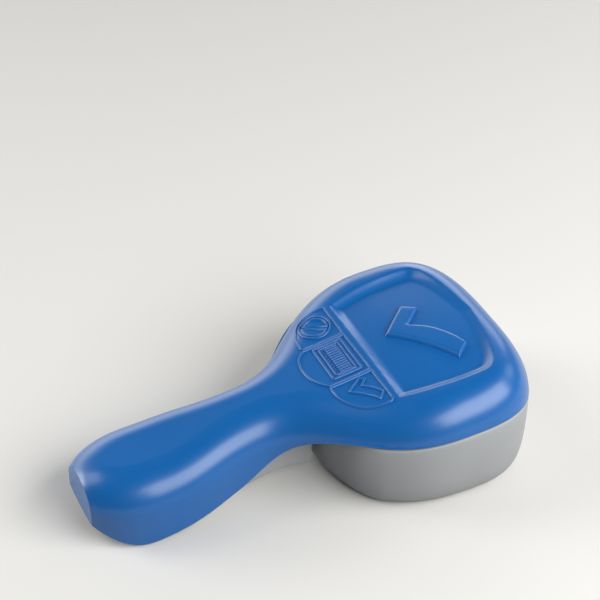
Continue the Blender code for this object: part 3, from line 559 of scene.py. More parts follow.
def inner_rings():
    """Rings from a ridge along the middle down the inner skin to the seam, with room for the dish."""
    inner = mirrored(inset(half_plan, SHELL_WALL))
    inner[:, 0] = np.maximum(inner[:, 0], SHELL_WALL)
    middle = np.clip(inner[:, 0], RIDGE_REAR, RIDGE_FRONT)
    ridge = np.stack((middle, np.zeros(len(inner))), axis=1)
    way = np.hypot(*(ridge - inner).T)
    room = DISH_ROOM * np.clip((inner[:, 0] - DISH_REAR_X) / DISH_BORDER + DISH_LEAD, 0, 1)
    rings = [at_height(ridge, crown(middle) - SHELL_WALL - room)]
    for part in INNER_SHARES:
        share = np.minimum(part * shoulder_reach(inner[:, 0]) / way, RIDGE_LIMIT + RIDGE_SPREAD * part)
        points = inner + (ridge - inner) * share[:, None]
        rings.append(at_height(points, skin_height(points, SHELL_WALL) - room * (part > DISH_SHARE)))
    rings.append(at_height(inner, rim(inner[:, 0])))
    return rings


# %% Rings of the outer skin
BAND, BAND_RINGS = 0.0035, 14
SEAM_ROUND, SEAM_STEPS = 0.0004, 4
SIDE_SHARES = (0.1, 0.3, 0.55, 0.8, 1.0)


def outer_rings():
    """Rings round the edge at the seam, up the side and over the shoulder."""
    rings = []
    for turn in np.linspace(0, math.pi / 2, SEAM_STEPS):
        points = mirrored(inset(half_plan, SEAM_ROUND * (1 - math.sin(turn))))
        rings.append(at_height(points, rim(points[:, 0]) + SEAM_ROUND * (1 - math.cos(turn))))
    outer = mirrored(half_plan)
    low = rim(outer[:, 0]) + SEAM_ROUND
    top = np.maximum(skin_height(outer, distance=np.zeros(len(outer))), low)
    for share in SIDE_SHARES:
        rings.append(at_height(outer, low + (top - low) * share))
    for step in range(1, BAND_RINGS + 1):
        distance = BAND * (step / BAND_RINGS) ** 2
        points = mirrored(inset(half_plan, distance))
        rings.append(at_height(points, skin_height(points, distance=np.full(len(points), distance))))
    return rings


# %% A net inside a loop
def coons_net(loop):
    """Plan points of a net stretched inside a loop, as rows from the butt side to the front side."""
    count, half = len(loop), END_STEPS
    rear = loop[np.arange(-half, half + 1) % count]
    left = loop[half : half + SIDE_STEPS + 1]
    front = loop[half + SIDE_STEPS : 3 * half + SIDE_STEPS + 1][::-1]
    right = loop[3 * half + SIDE_STEPS : 3 * half + 2 * SIDE_STEPS + 1][::-1]
    s = np.linspace(0, 1, 2 * half + 1)[None, :, None]
    t = np.linspace(0, 1, SIDE_STEPS + 1)[:, None, None]
    across = (1 - t) * rear[None] + t * front[None]
    along = (1 - s) * right[:, None] + s * left[:, None]
    rear_line = (1 - s) * rear[0] + s * rear[-1]
    front_line = (1 - s) * front[0] + s * front[-1]
    return across + along - ((1 - t) * rear_line + t * front_line)


def ring_faces(rings, count):
    """Faces between rings of the same number of points."""
    faces = []
    for low in range(0, (rings - 1) * count, count):
        for i in range(count):
            j = (i + 1) % count
            faces.append((low + i, low + j, low + count + j, low + count + i))
    return faces


def net_faces(rows, columns, start=0):
    """Faces of a net of points that are listed row by row."""
    corners = [start + i * columns + j for i in range(rows - 1) for j in range(columns - 1)]
    return [(a, a + 1, a + columns + 1, a + columns) for a in corners]


# %% Build the blue top
MERGE, SLIVER = 1e-7, 1e-8


def mesh_piece(name, points, faces, finish_used):
    """A piece from points and faces, with doubled points merged and its faces turned outwards."""
    mesh = bpy.data.meshes.new(name)
    mesh.from_pydata([tuple(p) for p in points], [], [tuple(f) for f in faces])
    shape = bmesh.new()
    shape.from_mesh(mesh)
    bmesh.ops.remove_doubles(shape, verts=shape.verts, dist=MERGE)
    bmesh.ops.dissolve_degenerate(shape, edges=shape.edges, dist=SLIVER)
    bmesh.ops.recalc_face_normals(shape, faces=shape.faces)
    shape.to_mesh(mesh)
    shape.free()
    mesh.shade_smooth()
    mesh.materials.append(finish_used)
    return linked(name, mesh)


def make_blue_top():
    rings = inner_rings() + outer_rings()
    count = len(rings[0])
    net = coons_net(mirrored(inset(half_plan, BAND)))
    rows, columns = net.shape[:2]
    net_points = net.reshape(-1, 2)
    border = np.ones((rows, columns), bool)
    border[1:-1, 1:-1] = False
    distance = np.where(border.ravel(), BAND, np.maximum(edge_distance(net_points), BAND))
    height = skin_height(net_points, distance=distance) - dish_height(net_points)
    points = np.vstack((*rings, at_height(net_points, height)))
    faces = ring_faces(len(rings), count) + net_faces(rows, columns, count * len(rings))
    return mesh_piece("blue_top", points, faces, blue)


blue_top = make_blue_top()
print("blue top:", len(blue_top.data.polygons), "faces before its butt is trimmed")

# %% Trim the butt
SHARP = math.radians(40)


def trim_butt(piece):
    """Cuts the round of the butt off at its flat end face, and closes the cut."""
    shape = bmesh.new()
    shape.from_mesh(piece.data)
    every = [*shape.verts, *shape.edges, *shape.faces]
    bmesh.ops.bisect_plane(
        shape, geom=every, dist=MERGE, plane_co=TO_ROW, plane_no=(-1, 0, 0), clear_outer=True
    )
    bmesh.ops.holes_fill(shape, edges=[edge for edge in shape.edges if edge.is_boundary])
    bmesh.ops.recalc_face_normals(shape, faces=shape.faces)
    for face in shape.faces:
        face.smooth = True
    print("open edges after the cut:", sum(not edge.is_manifold for edge in shape.edges))
    shape.to_mesh(piece.data)
    shape.free()
    piece.data.set_sharp_from_angle(angle=SHARP)


trim_butt(blue_top)
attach(blue_top, "housing")
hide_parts("upper_shell")
print("blue top:", len(blue_top.data.polygons), "faces")

# %% [markdown]
# ## Moulded signs on the head
#
# Behind the dish three lobes are outlined on the skin, with a crossed circle, a striped label and a
# tick in them. On the real object they are thin raised lines in the blue plastic. Each line is drawn
# in plan, in units of a 180th of the length, and laid on the skin by the height rule. A node tree then
# sweeps an oval bead along all of them at once, because one tree with two sizes is easier to tune than
# many meshes.

# %% Lines in plan
SIGN_UNIT = LENGTH / 180
ARC_STEPS, CIRCLE_STEPS = 60, 48


def arc_through(points):
    """A smooth open line through plan points, by their running distance."""
    points = np.array(points, float)
    along = run_length(points)
    at = np.linspace(0, along[-1], ARC_STEPS)
    return np.stack([smooth_curve(np.stack((along, line), axis=1))(at) for line in points.T], axis=1)


def straight(*corners):
    """Straight runs between corners, with a point at least each half unit."""
    corners = np.array(corners, float)
    runs = [corners[:1]]
    for a, b in zip(corners, corners[1:]):
        count = max(2, int(2 * np.hypot(*(b - a))))
        runs.append(a + (b - a) * np.linspace(0, 1, count + 1)[1:, None])
    return np.vstack(runs)


def circle(centre, radius, first=0, last=360, count=CIRCLE_STEPS):
    """Points round a centre, from a first to a last angle in degrees."""
    angle = np.radians(np.linspace(first, last, count))
    return np.array(centre) + radius * np.stack((np.cos(angle), np.sin(angle)), axis=1)


# %% Three lobes
LOBE_GAP = 0.6
LEFT_REAR, LEFT_FRONT, LEFT_LINE, LEFT_TIP = 99.6, 117.3, 13.0, 31.0
RIGHT_REAR, RIGHT_FRONT, RIGHT_LINE, RIGHT_TIP = 99.9, 117.5, -12.0, -31.0

left_rear, left_front = [(x, LEFT_LINE + LOBE_GAP) for x in (LEFT_REAR, LEFT_FRONT)]
mid_left_rear, mid_left_front = [(x, LEFT_LINE - LOBE_GAP) for x in (LEFT_REAR, LEFT_FRONT)]
mid_right_rear, mid_right_front = [(x, RIGHT_LINE + LOBE_GAP) for x in (RIGHT_REAR, RIGHT_FRONT)]
right_rear, right_front = [(x, RIGHT_LINE - LOBE_GAP) for x in (RIGHT_REAR, RIGHT_FRONT)]
left_tip, right_tip = (LEFT_FRONT, LEFT_TIP), (RIGHT_FRONT, RIGHT_TIP)
left_lobe = np.vstack((
    straight(left_front, left_tip),
    arc_through((
        left_tip, (116.4, 31.8), (112.4, 32.2), (107.8, 31.4), (104.2, 28.6), (101.3, 23.6),
        (99.6, 18.5), left_rear,
    )),
    straight(left_rear, left_front),
))
middle_lobe = np.vstack((
    straight(mid_left_rear, mid_left_front, mid_right_front, mid_right_rear),
    arc_through((
        mid_right_rear, (96.9, -7.6), (95.1, -2.8), (94.6, 2.4), (95.7, 7.9), mid_left_rear,
    )),
))
right_lobe = np.vstack((
    straight(right_rear, right_front, right_tip),
    arc_through((
        right_tip, (116.4, -32.0), (111.7, -31.4), (107.2, -29.2), (103.1, -24.8), (101.0, -21.0),
        (100.0, -17.3), right_rear,
    )),
))
print("lobes:", [len(lobe) for lobe in (left_lobe, middle_lobe, right_lobe)], "points")

# %% Crossed circle, label and small tick
SIGN_CENTRE, SIGN_RADIUS, SIGN_HOLE, SIGN_BAR = (109.3, 22.8), 6.4, 5.0, 0.80
SIGN_TURN, MOON_STEPS = -34.0, 30


def half_moon(side):
    """One of the two openings left by the bar across the ring."""
    tilt = math.degrees(math.asin(SIGN_BAR / SIGN_HOLE))
    first, last = SIGN_TURN + side * tilt, SIGN_TURN + side * (180 - tilt)
    bow = circle(SIGN_CENTRE, SIGN_HOLE, first, last, MOON_STEPS)
    return np.vstack((bow, bow[:1]))


def rectangle(rear, front, right, left):
    return straight((rear, right), (front, right), (front, left), (rear, left), (rear, right))


def strokes(rear, front, right, left, count):
    """Short lines from the rear to the front, spaced evenly from right to left."""
    return [straight((rear, y), (front, y)) for y in np.linspace(right, left, count)]


def tick(heel, short_tip, short_edge, crook, upper_bow, long_tip, long_edge, lower_bow):
    """A tick's outline: a straight short arm, and a long arm with two bowed sides."""
    return np.vstack((
        straight(heel, short_tip, short_edge, crook), arc_through((crook, upper_bow, long_tip)),
        straight(long_tip, long_edge), arc_through((long_edge, lower_bow, heel)),
    ))


small_tick = tick(
    (104.8, -18.6), (110.9, -14.1), (113.2, -15.4), (110.4, -18.2),
    (113.6, -21.6), (116.2, -25.8), (113.4, -28.7), (109.6, -23.2),
)
outlines = [
    left_lobe, middle_lobe, right_lobe, circle(SIGN_CENTRE, SIGN_RADIUS), half_moon(1), half_moon(-1),
    rectangle(103.1, 115.0, -8.8, 11.1), rectangle(105.0, 113.3, -7.4, 9.7), small_tick,
]
bars = strokes(106.9, 112.3, -6.3, 8.6, 12) + strokes(105.9, 106.2, -6.0, 8.3, 9)
print("signs:", len(outlines), "outlines,", len(bars), "short strokes")

# %% [markdown]
# A poly curve carries the lines into the node tree. The bead's profile is a circle scaled to the bead's
# width and height, and the curve's normal is kept upright, so the bead never rolls over. Helpers start
# a tree with named sizes, end it with real geometry and a finish, and run it into a plain mesh.

# %% Start, end and run a node tree
def node_tree(name, sizes):
    """An empty Geometry Nodes tree with a geometry and named sizes, and the sockets that give them."""
    tree = bpy.data.node_groups.new(name, "GeometryNodeTree")
    for side in ("INPUT", "OUTPUT"):
        tree.interface.new_socket("Geometry", in_out=side, socket_type="NodeSocketGeometry")
    for size, value in sizes.items():
        socket = tree.interface.new_socket(size, in_out="INPUT", socket_type="NodeSocketFloat")
        socket.default_value = value
    return tree, tree.nodes.new("NodeGroupInput").outputs


def end_tree(tree, geometry, finish_used):
    """Makes instances real, sets the finish and puts the geometry out."""
    whole = grow(tree, "GeometryNodeRealizeInstances", Geometry=geometry)
    painted = grow(tree, "GeometryNodeSetMaterial", Geometry=whole, Material=finish_used)
    grow(tree, "NodeGroupOutput", Geometry=painted)


def run_mesh(piece):
    """A plain mesh of a piece with its modifiers run."""
    bpy.context.view_layer.update()
    return bpy.data.meshes.new_from_object(piece.evaluated_get(bpy.context.evaluated_depsgraph_get()))


def grown_piece(name, data, tree, sizes):
    """Runs a node tree over some data, with these sizes changed, and keeps the result as a mesh."""
    source = linked(name + "_source", data)
    modifier = source.modifiers.new("nodes", "NODES")
    modifier.node_group = tree
    for socket in tree.interface.items_tree:
        if socket.name in sizes:
            modifier[socket.identifier] = sizes[socket.name]
    mesh = run_mesh(source)
    bpy.data.objects.remove(source)
    mesh.name = name
    return linked(name, mesh)


# %% Bead tree
BEAD_WIDTH, BEAD_HEIGHT, BAR_WIDTH = 0.00100, 0.00115, 0.00080
BEAD_SIDES = 10

bead_tree, given = node_tree("raised_line", {"Bead width": BEAD_WIDTH, "Bead height": BEAD_HEIGHT})
upright = grow(bead_tree, "GeometryNodeSetCurveNormal", {"mode": "Z_UP"}, Curve=given["Geometry"])
profile = grow(bead_tree, "GeometryNodeCurvePrimitiveCircle", Resolution=BEAD_SIDES, Radius=0.5)
scale = grow(bead_tree, "ShaderNodeCombineXYZ", X=given["Bead width"], Y=given["Bead height"], Z=1.0)
oval = grow(bead_tree, "GeometryNodeTransform", Geometry=profile, Scale=scale)
sweep = grow(bead_tree, "GeometryNodeCurveToMesh", Curve=upright, Profile_Curve=oval, Fill_Caps=True)
shaded = grow(bead_tree, "GeometryNodeSetShadeSmooth", Geometry=sweep)
end_tree(bead_tree, shaded, blue)
print("bead tree:", len(bead_tree.nodes), "nodes")


# %% Lay the beads
def line_data(name, lines):
    """A poly curve with one spline for each line, closed where its ends meet."""
    curve = bpy.data.curves.new(name, "CURVE")
    curve.dimensions = "3D"
    for line in lines:
        points = on_skin(line * SIGN_UNIT)
        closed = np.allclose(points[0], points[-1], rtol=0, atol=MERGE)
        points = points[:-1] if closed else points
        spline = curve.splines.new("POLY")
        spline.points.add(len(points) - 1)
        spline.use_cyclic_u = bool(closed)
        for target, point in zip(spline.points, points):
            target.co = (*point, 1)
    return curve


for name, lines, width in (("sign_lines", outlines, BEAD_WIDTH), ("label_bars", bars, BAR_WIDTH)):
    beads = grown_piece(name, line_data(name, lines), bead_tree, {"Bead width": width})
    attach(beads, "housing")
    print(name, len(lines), "lines,", len(beads.data.polygons), "faces")

# %% [markdown]
# ## The large tick in the dish
#
# In the dish a large tick stands up as a low plate with a round edge and a bowed long arm. Its plan is
# drawn and filled with points, which lie closer together near the edge. Each point is then lifted off
# the dish's floor by its distance from the edge, as a quarter of a circle rises, so the edge is round
# and the corners keep a clean line, as on a moulded mark.

# %% Points round and inside a loop
NEAR_ENOUGH, SAME_POINT = 0.999, 1e-9


def loop_distance(points, loop):
    """How far each point is from the nearest side of a closed loop."""
    side = np.roll(loop, -1, axis=0) - loop
    off = points[:, None] - loop
    along = np.clip(np.sum(off * side, axis=2) / np.sum(side * side, axis=1), 0, 1)
    return np.linalg.norm(off - along[:, :, None] * side, axis=2).min(axis=1)


def beside(loop, distances):
    """Points on both sides of a loop, at each distance from it and no nearer to any other side."""
    side = np.roll(loop, -1, axis=0) - np.roll(loop, 1, axis=0)
    square = np.stack((-side[:, 1], side[:, 0]), axis=1) / np.linalg.norm(side, axis=1)[:, None]
    found = []
    for distance in distances:
        moved = np.vstack((loop + distance * square, loop - distance * square))
        found.append(moved[loop_distance(moved, loop) > NEAR_ENOUGH * distance])
    return np.vstack(found)


def filled(loop, others):
    """A loop filled with triangles over other points: the points, the loop's first, and the faces."""
    points = [Vector(p) for p in (*loop, *others)]
    border = [list(range(len(loop)))]
    flat, _, faces, origin, _, _ = delaunay_2d_cdt(points, [], border, 1, SAME_POINT)
    used = sorted({i for face in faces for i in face}, key=lambda i: origin[i][0])
    rank = {old: new for new, old in enumerate(used)}
    return np.array([flat[i] for i in used]), [[rank[i] for i in face] for face in faces]


# %% Build the large tick
TICK_RISE, TICK_ROUND, TICK_SINK = 0.0014, 0.0014, 0.0004
ROUND_TURNS = np.linspace(0, math.pi / 2, 6)[1:]
NET_STEP = 0.0010

big_tick = SIGN_UNIT * tick(
    (130.9, 2.9), (144.1, 15.9), (149.7, 11.2), (141.8, 3.5),
    (150.6, -4.3), (157.0, -17.3), (150.4, -23.3), (142.3, -10.3),
)
big_tick = big_tick[np.linalg.norm(np.roll(big_tick, -1, axis=0) - big_tick, axis=1) > MERGE]


def make_tick():
    """The plan's points lifted by their distance from its edge, over a skirt sunk in the dish."""
    low, high = big_tick.min(axis=0), big_tick.max(axis=0)
    grid = np.meshgrid(*(np.arange(a, b, NET_STEP) for a, b in zip(low, high)))
    grid = np.stack(grid, axis=-1).reshape(-1, 2)
    grid = grid[loop_distance(grid, big_tick) > TICK_ROUND + NET_STEP / 2]
    edge = beside(big_tick, TICK_ROUND * (1 - np.cos(ROUND_TURNS)))
    top, faces = filled(big_tick, np.vstack((edge, grid)))
    count = len(big_tick)
    top[:count] = big_tick
    short = 1 - np.clip(loop_distance(top, big_tick) / TICK_ROUND, 0, 1)
    lift = TICK_RISE - TICK_ROUND * (1 - np.sqrt(1 - short**2))
    skirt = [on_skin(big_tick, -TICK_SINK), on_skin(big_tick, TICK_RISE - TICK_ROUND)]
    lid = [[2 * count + i for i in face] for face in faces]
    points = np.vstack((*skirt, on_skin(top, lift)))
    return mesh_piece("large_tick", points, ring_faces(2, count) + lid + [range(count)[::-1]], blue)


large_tick = make_tick()
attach(large_tick, "housing")
print("large tick:", len(large_tick.data.polygons), "faces")

# %% [markdown]
# ## The grey base
#
# The base is a deep tub under the head. Its top edge follows the blue outline, its rear end is round,
# and its wall stands almost upright before it rounds into the flat floor. Rings stepped by the same
# squarish curve as in the CAD source make the outside, and plainer rings make the inside, so the wall
# is closed. The openings in the floor are then cut by Booleans, which leave the round wall alone.

# %% The base's top edge
BASE_REAR_X, BASE_REAR_FULLNESS, BASE_FLUSH_X = 0.0866, 0.395, 0.1003
FLUSH_STEP, FLUSH_HANDLE = 0.001, 0.010
BASE_STEPS, REAR_STEPS = 220, 80
SEAM_GAP = 0.0005


def base_half():
    """Half of the base's top edge: a rounded rear end, then flush under the blue outline."""
    flush = plan[plan[:, 0] > BASE_FLUSH_X + FLUSH_STEP]
    side = np.array((BASE_FLUSH_X, np.interp(BASE_FLUSH_X, plan[:, 0], plan[:, 1])))
    along = flush[0] - side
    along *= FLUSH_HANDLE / np.linalg.norm(along)
    full = (BASE_REAR_X, BASE_REAR_FULLNESS * side[1])
    rear = bezier((BASE_REAR_X, 0), full, side - along, side, REAR_STEPS)
    return spaced(np.vstack(((BASE_REAR_X, 0), rear, flush)), BASE_STEPS)


base_edge = base_half()
base_seam = rim(mirrored(base_edge)[:, 0]) - SEAM_GAP
print("base:", len(base_seam), "points round its top edge")

# %% Build the base
BASE_REAR_TAPER, BASE_FRONT_TAPER, BASE_SIDE_TAPER, BASE_ROUND = 0.856, 0.945, 0.80, 2.50
BASE_WALL, BASE_EDGE = 0.0028, 0.0008
INNER_STEPS, EDGE_STEPS, WALL_STEPS = 9, 4, 36
RING_STEP = 1e-4


def tub_ring(half, floor, turn):
    """One ring of the tub, from its top edge at turn 0 to its floor at a quarter turn."""
    edge = mirrored(half)
    middle = (BASE_REAR_X + LENGTH) / 2
    taper = np.where(edge[:, 0] < middle, BASE_REAR_TAPER, BASE_FRONT_TAPER)
    power = 2 / BASE_ROUND
    down, pull = math.sin(turn) ** power, 1 - max(math.cos(turn), 0) ** power
    x = middle + (edge[:, 0] - middle) * (1 - (1 - taper) * pull)
    y = edge[:, 1] * (1 - (1 - BASE_SIDE_TAPER) * pull)
    return np.stack((x, y, floor + (base_seam - floor) * (1 - down)), axis=1) + TO_ROW


def make_base():
    inner = inset(base_edge, BASE_WALL)
    rings = [tub_ring(inner, BASE_WALL, turn) for turn in np.linspace(math.pi / 2, 0, INNER_STEPS)]
    for turn in np.linspace(0, math.pi / 2, EDGE_STEPS)[:-1]:
        ring = tub_ring(inset(base_edge, BASE_EDGE * (1 - math.sin(turn))), 0, 0)
        rings.append(ring - (0, 0, BASE_EDGE * (1 - math.cos(turn))))
    outer = [tub_ring(base_edge, 0, turn) for turn in np.linspace(0, math.pi / 2, WALL_STEPS)]
    top = outer[0] - (0, 0, BASE_EDGE)
    rings += [top] + [ring for ring in outer if (ring[:, 2] < top[:, 2] - RING_STEP).all()]
    count = len(top)
    last = (len(rings) - 1) * count
    floors = [range(count)[::-1], range(last, last + count)]
    return mesh_piece("grey_base", np.vstack(rings), ring_faces(len(rings), count) + floors, grey)


grey_base = make_base()
print("base:", len(grey_base.data.polygons), "faces before its openings are cut")

# %% [markdown]
# ## Bosses and openings underneath
#
# Inside the base four hollow bosses take the screws that hold the blue top on. The floor has an
# opening for the cell door, one for the scan window, seven small holes for the speaker, and the round
# wells of the bosses. Plain boxes and drums cut them, as a mould has plain cores. The door, the window
# and the speaker are in the frame, so their boxes say where to cut. The bosses are joined first,
# because a well runs up inside its boss.

# %% Boxes, drums and cuts
DRUM_SIDES = 32


def box_tool(shape, low, high):
    low, high = np.array(low), np.array(high)
    for vert in bmesh.ops.create_cube(shape, size=1)["verts"]:
        vert.co = (low + high) / 2 + np.array(vert.co) * (high - low)


def drum_tool(shape, x, y, radius, low, high, sides=DRUM_SIDES):
    made = bmesh.ops.create_cone(
        shape, cap_ends=True, segments=sides, radius1=radius, radius2=radius, depth=high - low
    )["verts"]
    bmesh.ops.translate(shape, verts=made, vec=(x, y, (low + high) / 2))


def as_mesh(name, shape):
    """A mesh from a bmesh shape, which is then freed."""
    mesh = bpy.data.meshes.new(name)
    shape.to_mesh(mesh)
    shape.free()
    return mesh


def as_plain(piece):
    """A piece with its modifiers made part of its mesh."""
    mesh = run_mesh(piece)
    piece.modifiers.clear()
    piece.data = mesh
    return piece


def cut(piece, shape, operation="DIFFERENCE"):
    """Cuts a bmesh tool out of a piece, or joins it."""
    tool = linked("tool", as_mesh("tool", shape))
    modifier = piece.modifiers.new("cut", "BOOLEAN")
    modifier.operation, modifier.object = operation, tool
    as_plain(piece)
    bpy.data.objects.remove(tool)


# %% Where the frame asks for bosses and openings
BOSS_RADIUS, WELL_RADIUS, WELL_ROOF, BELOW = 0.0040, 0.0029, 0.0025, -0.01
HEAD_BOSS_TOP, REAR_BOSS_Y, FRONT_BOSS_SETBACK, FRONT_BOSS_Y = 0.0240, 0.0312, 0.0135, 0.0240


def node_box(node):
    """The lowest and highest corners of a CAD node's box."""
    return [np.array(corner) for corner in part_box(node)]


def opening(shape, node, margin):
    """A box through the floor, as wide as a node's box and a margin."""
    low, high = node_box(node)
    box_tool(shape, (*(low[:2] - margin), BELOW), (*(high[:2] + margin), 2 * BASE_WALL))


def add_boss(bosses, wells, place, foot, top):
    """A boss, and the well that runs up inside it from below."""
    drum_tool(bosses, *place, BOSS_RADIUS, foot, top)
    drum_tool(wells, *place, WELL_RADIUS, BELOW, top - WELL_ROOF)


rear_boss_x = sum(node_box("battery_cell_2"))[0] / 2
front_boss_x = cad_box[1][0] - FRONT_BOSS_SETBACK
head_bosses = [
    (x, side * y)
    for x, y in ((rear_boss_x, REAR_BOSS_Y), (front_boss_x, FRONT_BOSS_Y))
    for side in (1, -1)
]
print("head bosses in mm:", [in_mm(place) for place in head_bosses])

# %% Join the bosses and cut the floor
DOOR_GAP, WINDOW_FLANGE = 0.0004, 0.0020
GRILLE_RADIUS, GRILLE_PITCH, GRILLE_HOLES = 0.0011, 0.0040, 6

bosses, tools = bmesh.new(), bmesh.new()
for place in head_bosses:
    add_boss(bosses, tools, place, BASE_WALL / 2, HEAD_BOSS_TOP)
opening(tools, "battery_door", DOOR_GAP)
opening(tools, "scan_window", -WINDOW_FLANGE)
speaker = sum(node_box("speaker_basket"))[:2] / 2
ring_of_holes = circle(speaker, GRILLE_PITCH, count=GRILLE_HOLES + 1)[:-1]
for x, y in (speaker, *ring_of_holes):
    drum_tool(tools, x, y, GRILLE_RADIUS, BELOW, 2 * BASE_WALL)
cut(grey_base, bosses, "UNION")
cut(grey_base, tools)
grey_base.data.set_sharp_from_angle(angle=SHARP)
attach(grey_base, "housing")
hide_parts("lower_housing")
print("base:", len(grey_base.data.polygons), "faces with its openings")

# %% [markdown]
# ## The grip's floor
#
# Under the grip the grey housing closes the blue top with a thin floor, a little inside the rim, and
# the trigger comes down through a slot in it. Strips from the middle line out to the edge follow
# the rim's line along the grip, and leave the slot free. The sheet then gets its thickness, and a boss
# for the screw in the grip.

# %% Sheet of the grip's floor
FLOOR_INSET, FLOOR_DIP, FLOOR_END, FLOOR_MARGIN = 0.0006, 0.0016, 0.0975, 0.00245
FLOOR_STEP, FLOOR_COLUMNS, SLOT_COLUMNS = 0.0008, np.array((0, 0.5, 1, 1.34, 1.67, 2.0)), 2
TRIGGER_WIDTH, TRIGGER_FRONT_X, PIVOT_X, PIVOT_Z = 0.0224, 0.0845, 0.0472, 0.0118
HUB_RADIUS, RUNNING_GAP = 0.0040, 0.0004
SLOT_HALF = TRIGGER_WIDTH / 2 + RUNNING_GAP
SLOT_REAR = PIVOT_X - HUB_RADIUS - 2 * RUNNING_GAP
SLOT_FRONT = TRIGGER_FRONT_X + 2 * RUNNING_GAP
DIP_REAR_X = 0.93 * TRIGGER_FRONT_X


def floor_height(x):
    """The floor's underside: a little over the rim, and dipping under it at the trigger's front."""
    share = np.clip((x - DIP_REAR_X) / (TRIGGER_FRONT_X - DIP_REAR_X), 0, 1)
    return rim(x) + FLOOR_INSET - (FLOOR_INSET + FLOOR_DIP) * share


def make_grip_floor():
    edge = inset(plan, FLOOR_MARGIN)
    edge = edge[np.concatenate(([True], np.diff(edge[:, 0]) > MERGE)) & (edge[:, 0] > FLOOR_MARGIN)]
    even = np.arange(edge[0, 0], FLOOR_END, FLOOR_STEP)
    stations = np.unique((*even, SLOT_REAR, SLOT_FRONT, FLOOR_END))
    points, faces = [], []
    for x, width in zip(stations, np.interp(stations, edge[:, 0], edge[:, 1])):
        inner = min(SLOT_HALF, width)
        outside = inner + (FLOOR_COLUMNS - 1) * (width - inner)
        y = np.where(FLOOR_COLUMNS <= 1, FLOOR_COLUMNS * inner, outside)
        points += [(x, v, floor_height(x)) for v in (*-y[:0:-1], *y)]
    across, middle = 2 * len(FLOOR_COLUMNS) - 1, len(FLOOR_COLUMNS) - 1
    for face in net_faces(len(stations), across):
        row, column = divmod(face[0], across)
        beside_slot = not SLOT_REAR - MERGE <= stations[row] < SLOT_FRONT - MERGE
        if beside_slot or not middle - SLOT_COLUMNS <= column < middle + SLOT_COLUMNS:
            faces.append(face)
    return mesh_piece("grip_floor", np.array(points) + TO_ROW, faces, grey)


grip_floor = make_grip_floor()
print("grip floor:", len(grip_floor.data.polygons), "faces as a sheet")

# %% Wall and boss of the grip's floor
FLOOR_WALL = 0.0016
GRIP_BOSS_X, GRIP_BOSS_TOP = 0.0200, 0.0120

if grip_floor.data.polygons[len(grip_floor.data.polygons) // 2].normal.z > 0:
    grip_floor.data.flip_normals()
wall = grip_floor.modifiers.new("wall", "SOLIDIFY")
wall.thickness, wall.offset = FLOOR_WALL, -1
as_plain(grip_floor)
bosses, tools = bmesh.new(), bmesh.new()
grip_boss = (GRIP_BOSS_X + TO_ROW[0], 0.0)
add_boss(bosses, tools, grip_boss, float(floor_height(GRIP_BOSS_X)) + FLOOR_WALL / 2, GRIP_BOSS_TOP)
cut(grip_floor, bosses, "UNION")
cut(grip_floor, tools)
grip_floor.data.set_sharp_from_angle(angle=SHARP)
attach(grip_floor, "housing")
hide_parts("lower_housing")
print("grip floor:", len(grip_floor.data.polygons), "faces")

# %% [markdown]
# ## The cell door
#
# The door is a flat plate, flush with the base's floor, with small round edges and a shallow finger
# hollow near its front edge, where it is pushed to unlatch. It is a box with beveled edges, and the
# hollow is cut by a large drum that lies across and barely dips into the plate.

# %% Build the cell door
DOOR_EDGE, DOOR_EDGE_STEPS, DOOR_CORNER, DOOR_CORNER_STEPS = 0.0003, 3, 0.0010, 6
DOOR_SHARP = math.radians(35)
HOLLOW_RADIUS, HOLLOW_DEPTH, HOLLOW_LENGTH, HOLLOW_SETBACK = 0.0090, 0.0007, 0.0140, 0.0050
ROLLER_SIDES = 96


def round_edges(shape, edges, size, steps, **options):
    """Gives some edges of a bmesh shape a round bevel."""
    bmesh.ops.bevel(
        shape, geom=edges, offset=size, segments=steps, profile=0.5, affect="EDGES", **options
    )


def is_level(edge):
    return abs(edge.verts[0].co.z - edge.verts[1].co.z) < MERGE


def make_door():
    low, high = node_box("battery_door")
    shape = bmesh.new()
    box_tool(shape, low, high)
    upright = [edge for edge in shape.edges if not is_level(edge)]
    round_edges(shape, upright, DOOR_CORNER, DOOR_CORNER_STEPS)
    level = [edge for edge in shape.edges if is_level(edge)]
    round_edges(shape, level, DOOR_EDGE, DOOR_EDGE_STEPS)
    made = linked("cell_door", as_mesh("cell_door", shape))
    made.data.materials.append(grey)
    roller = bmesh.new()
    drum_tool(roller, 0, 0, HOLLOW_RADIUS, -HOLLOW_LENGTH / 2, HOLLOW_LENGTH / 2, ROLLER_SIDES)
    bmesh.ops.rotate(roller, verts=roller.verts, matrix=Matrix.Rotation(math.pi / 2, 3, "X"))
    place = (high[0] - HOLLOW_SETBACK, (low[1] + high[1]) / 2, low[2] + HOLLOW_DEPTH - HOLLOW_RADIUS)
    bmesh.ops.translate(roller, verts=roller.verts, vec=place)
    cut(made, roller)
    made.data.shade_smooth()
    made.data.set_sharp_from_angle(angle=DOOR_SHARP)
    return made


cell_door = make_door()
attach(cell_door, "housing")
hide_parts("battery_door")
print("cell door:", len(cell_door.data.polygons), "faces")

# %% [markdown]
# ## The screws
#
# Five steel screws sit deep in the wells and hold the two housings together. They are alike, so one
# node tree makes a tapered head with a cross recess and a shank that runs up into the boss, and puts a
# copy at every point that it is given. The second arm of the cross is cut a little less deep, because
# two cuts that share a face can leave holes.

# %% Screw tree
SCREW_HEAD_RADIUS, SCREW_HEAD_HEIGHT, HEAD_TAPER, HEAD_SIDES = 0.0023, 0.0014, 0.72, 40
SHANK_RADIUS, SHANK_LENGTH, SHANK_OVERLAP, SHANK_SIDES = 0.0012, 0.0060, 0.0002, 24
CROSS_LENGTH, CROSS_WIDTH, CROSS_DEPTHS = 0.0028, 0.0006, (0.0009, 0.00081)

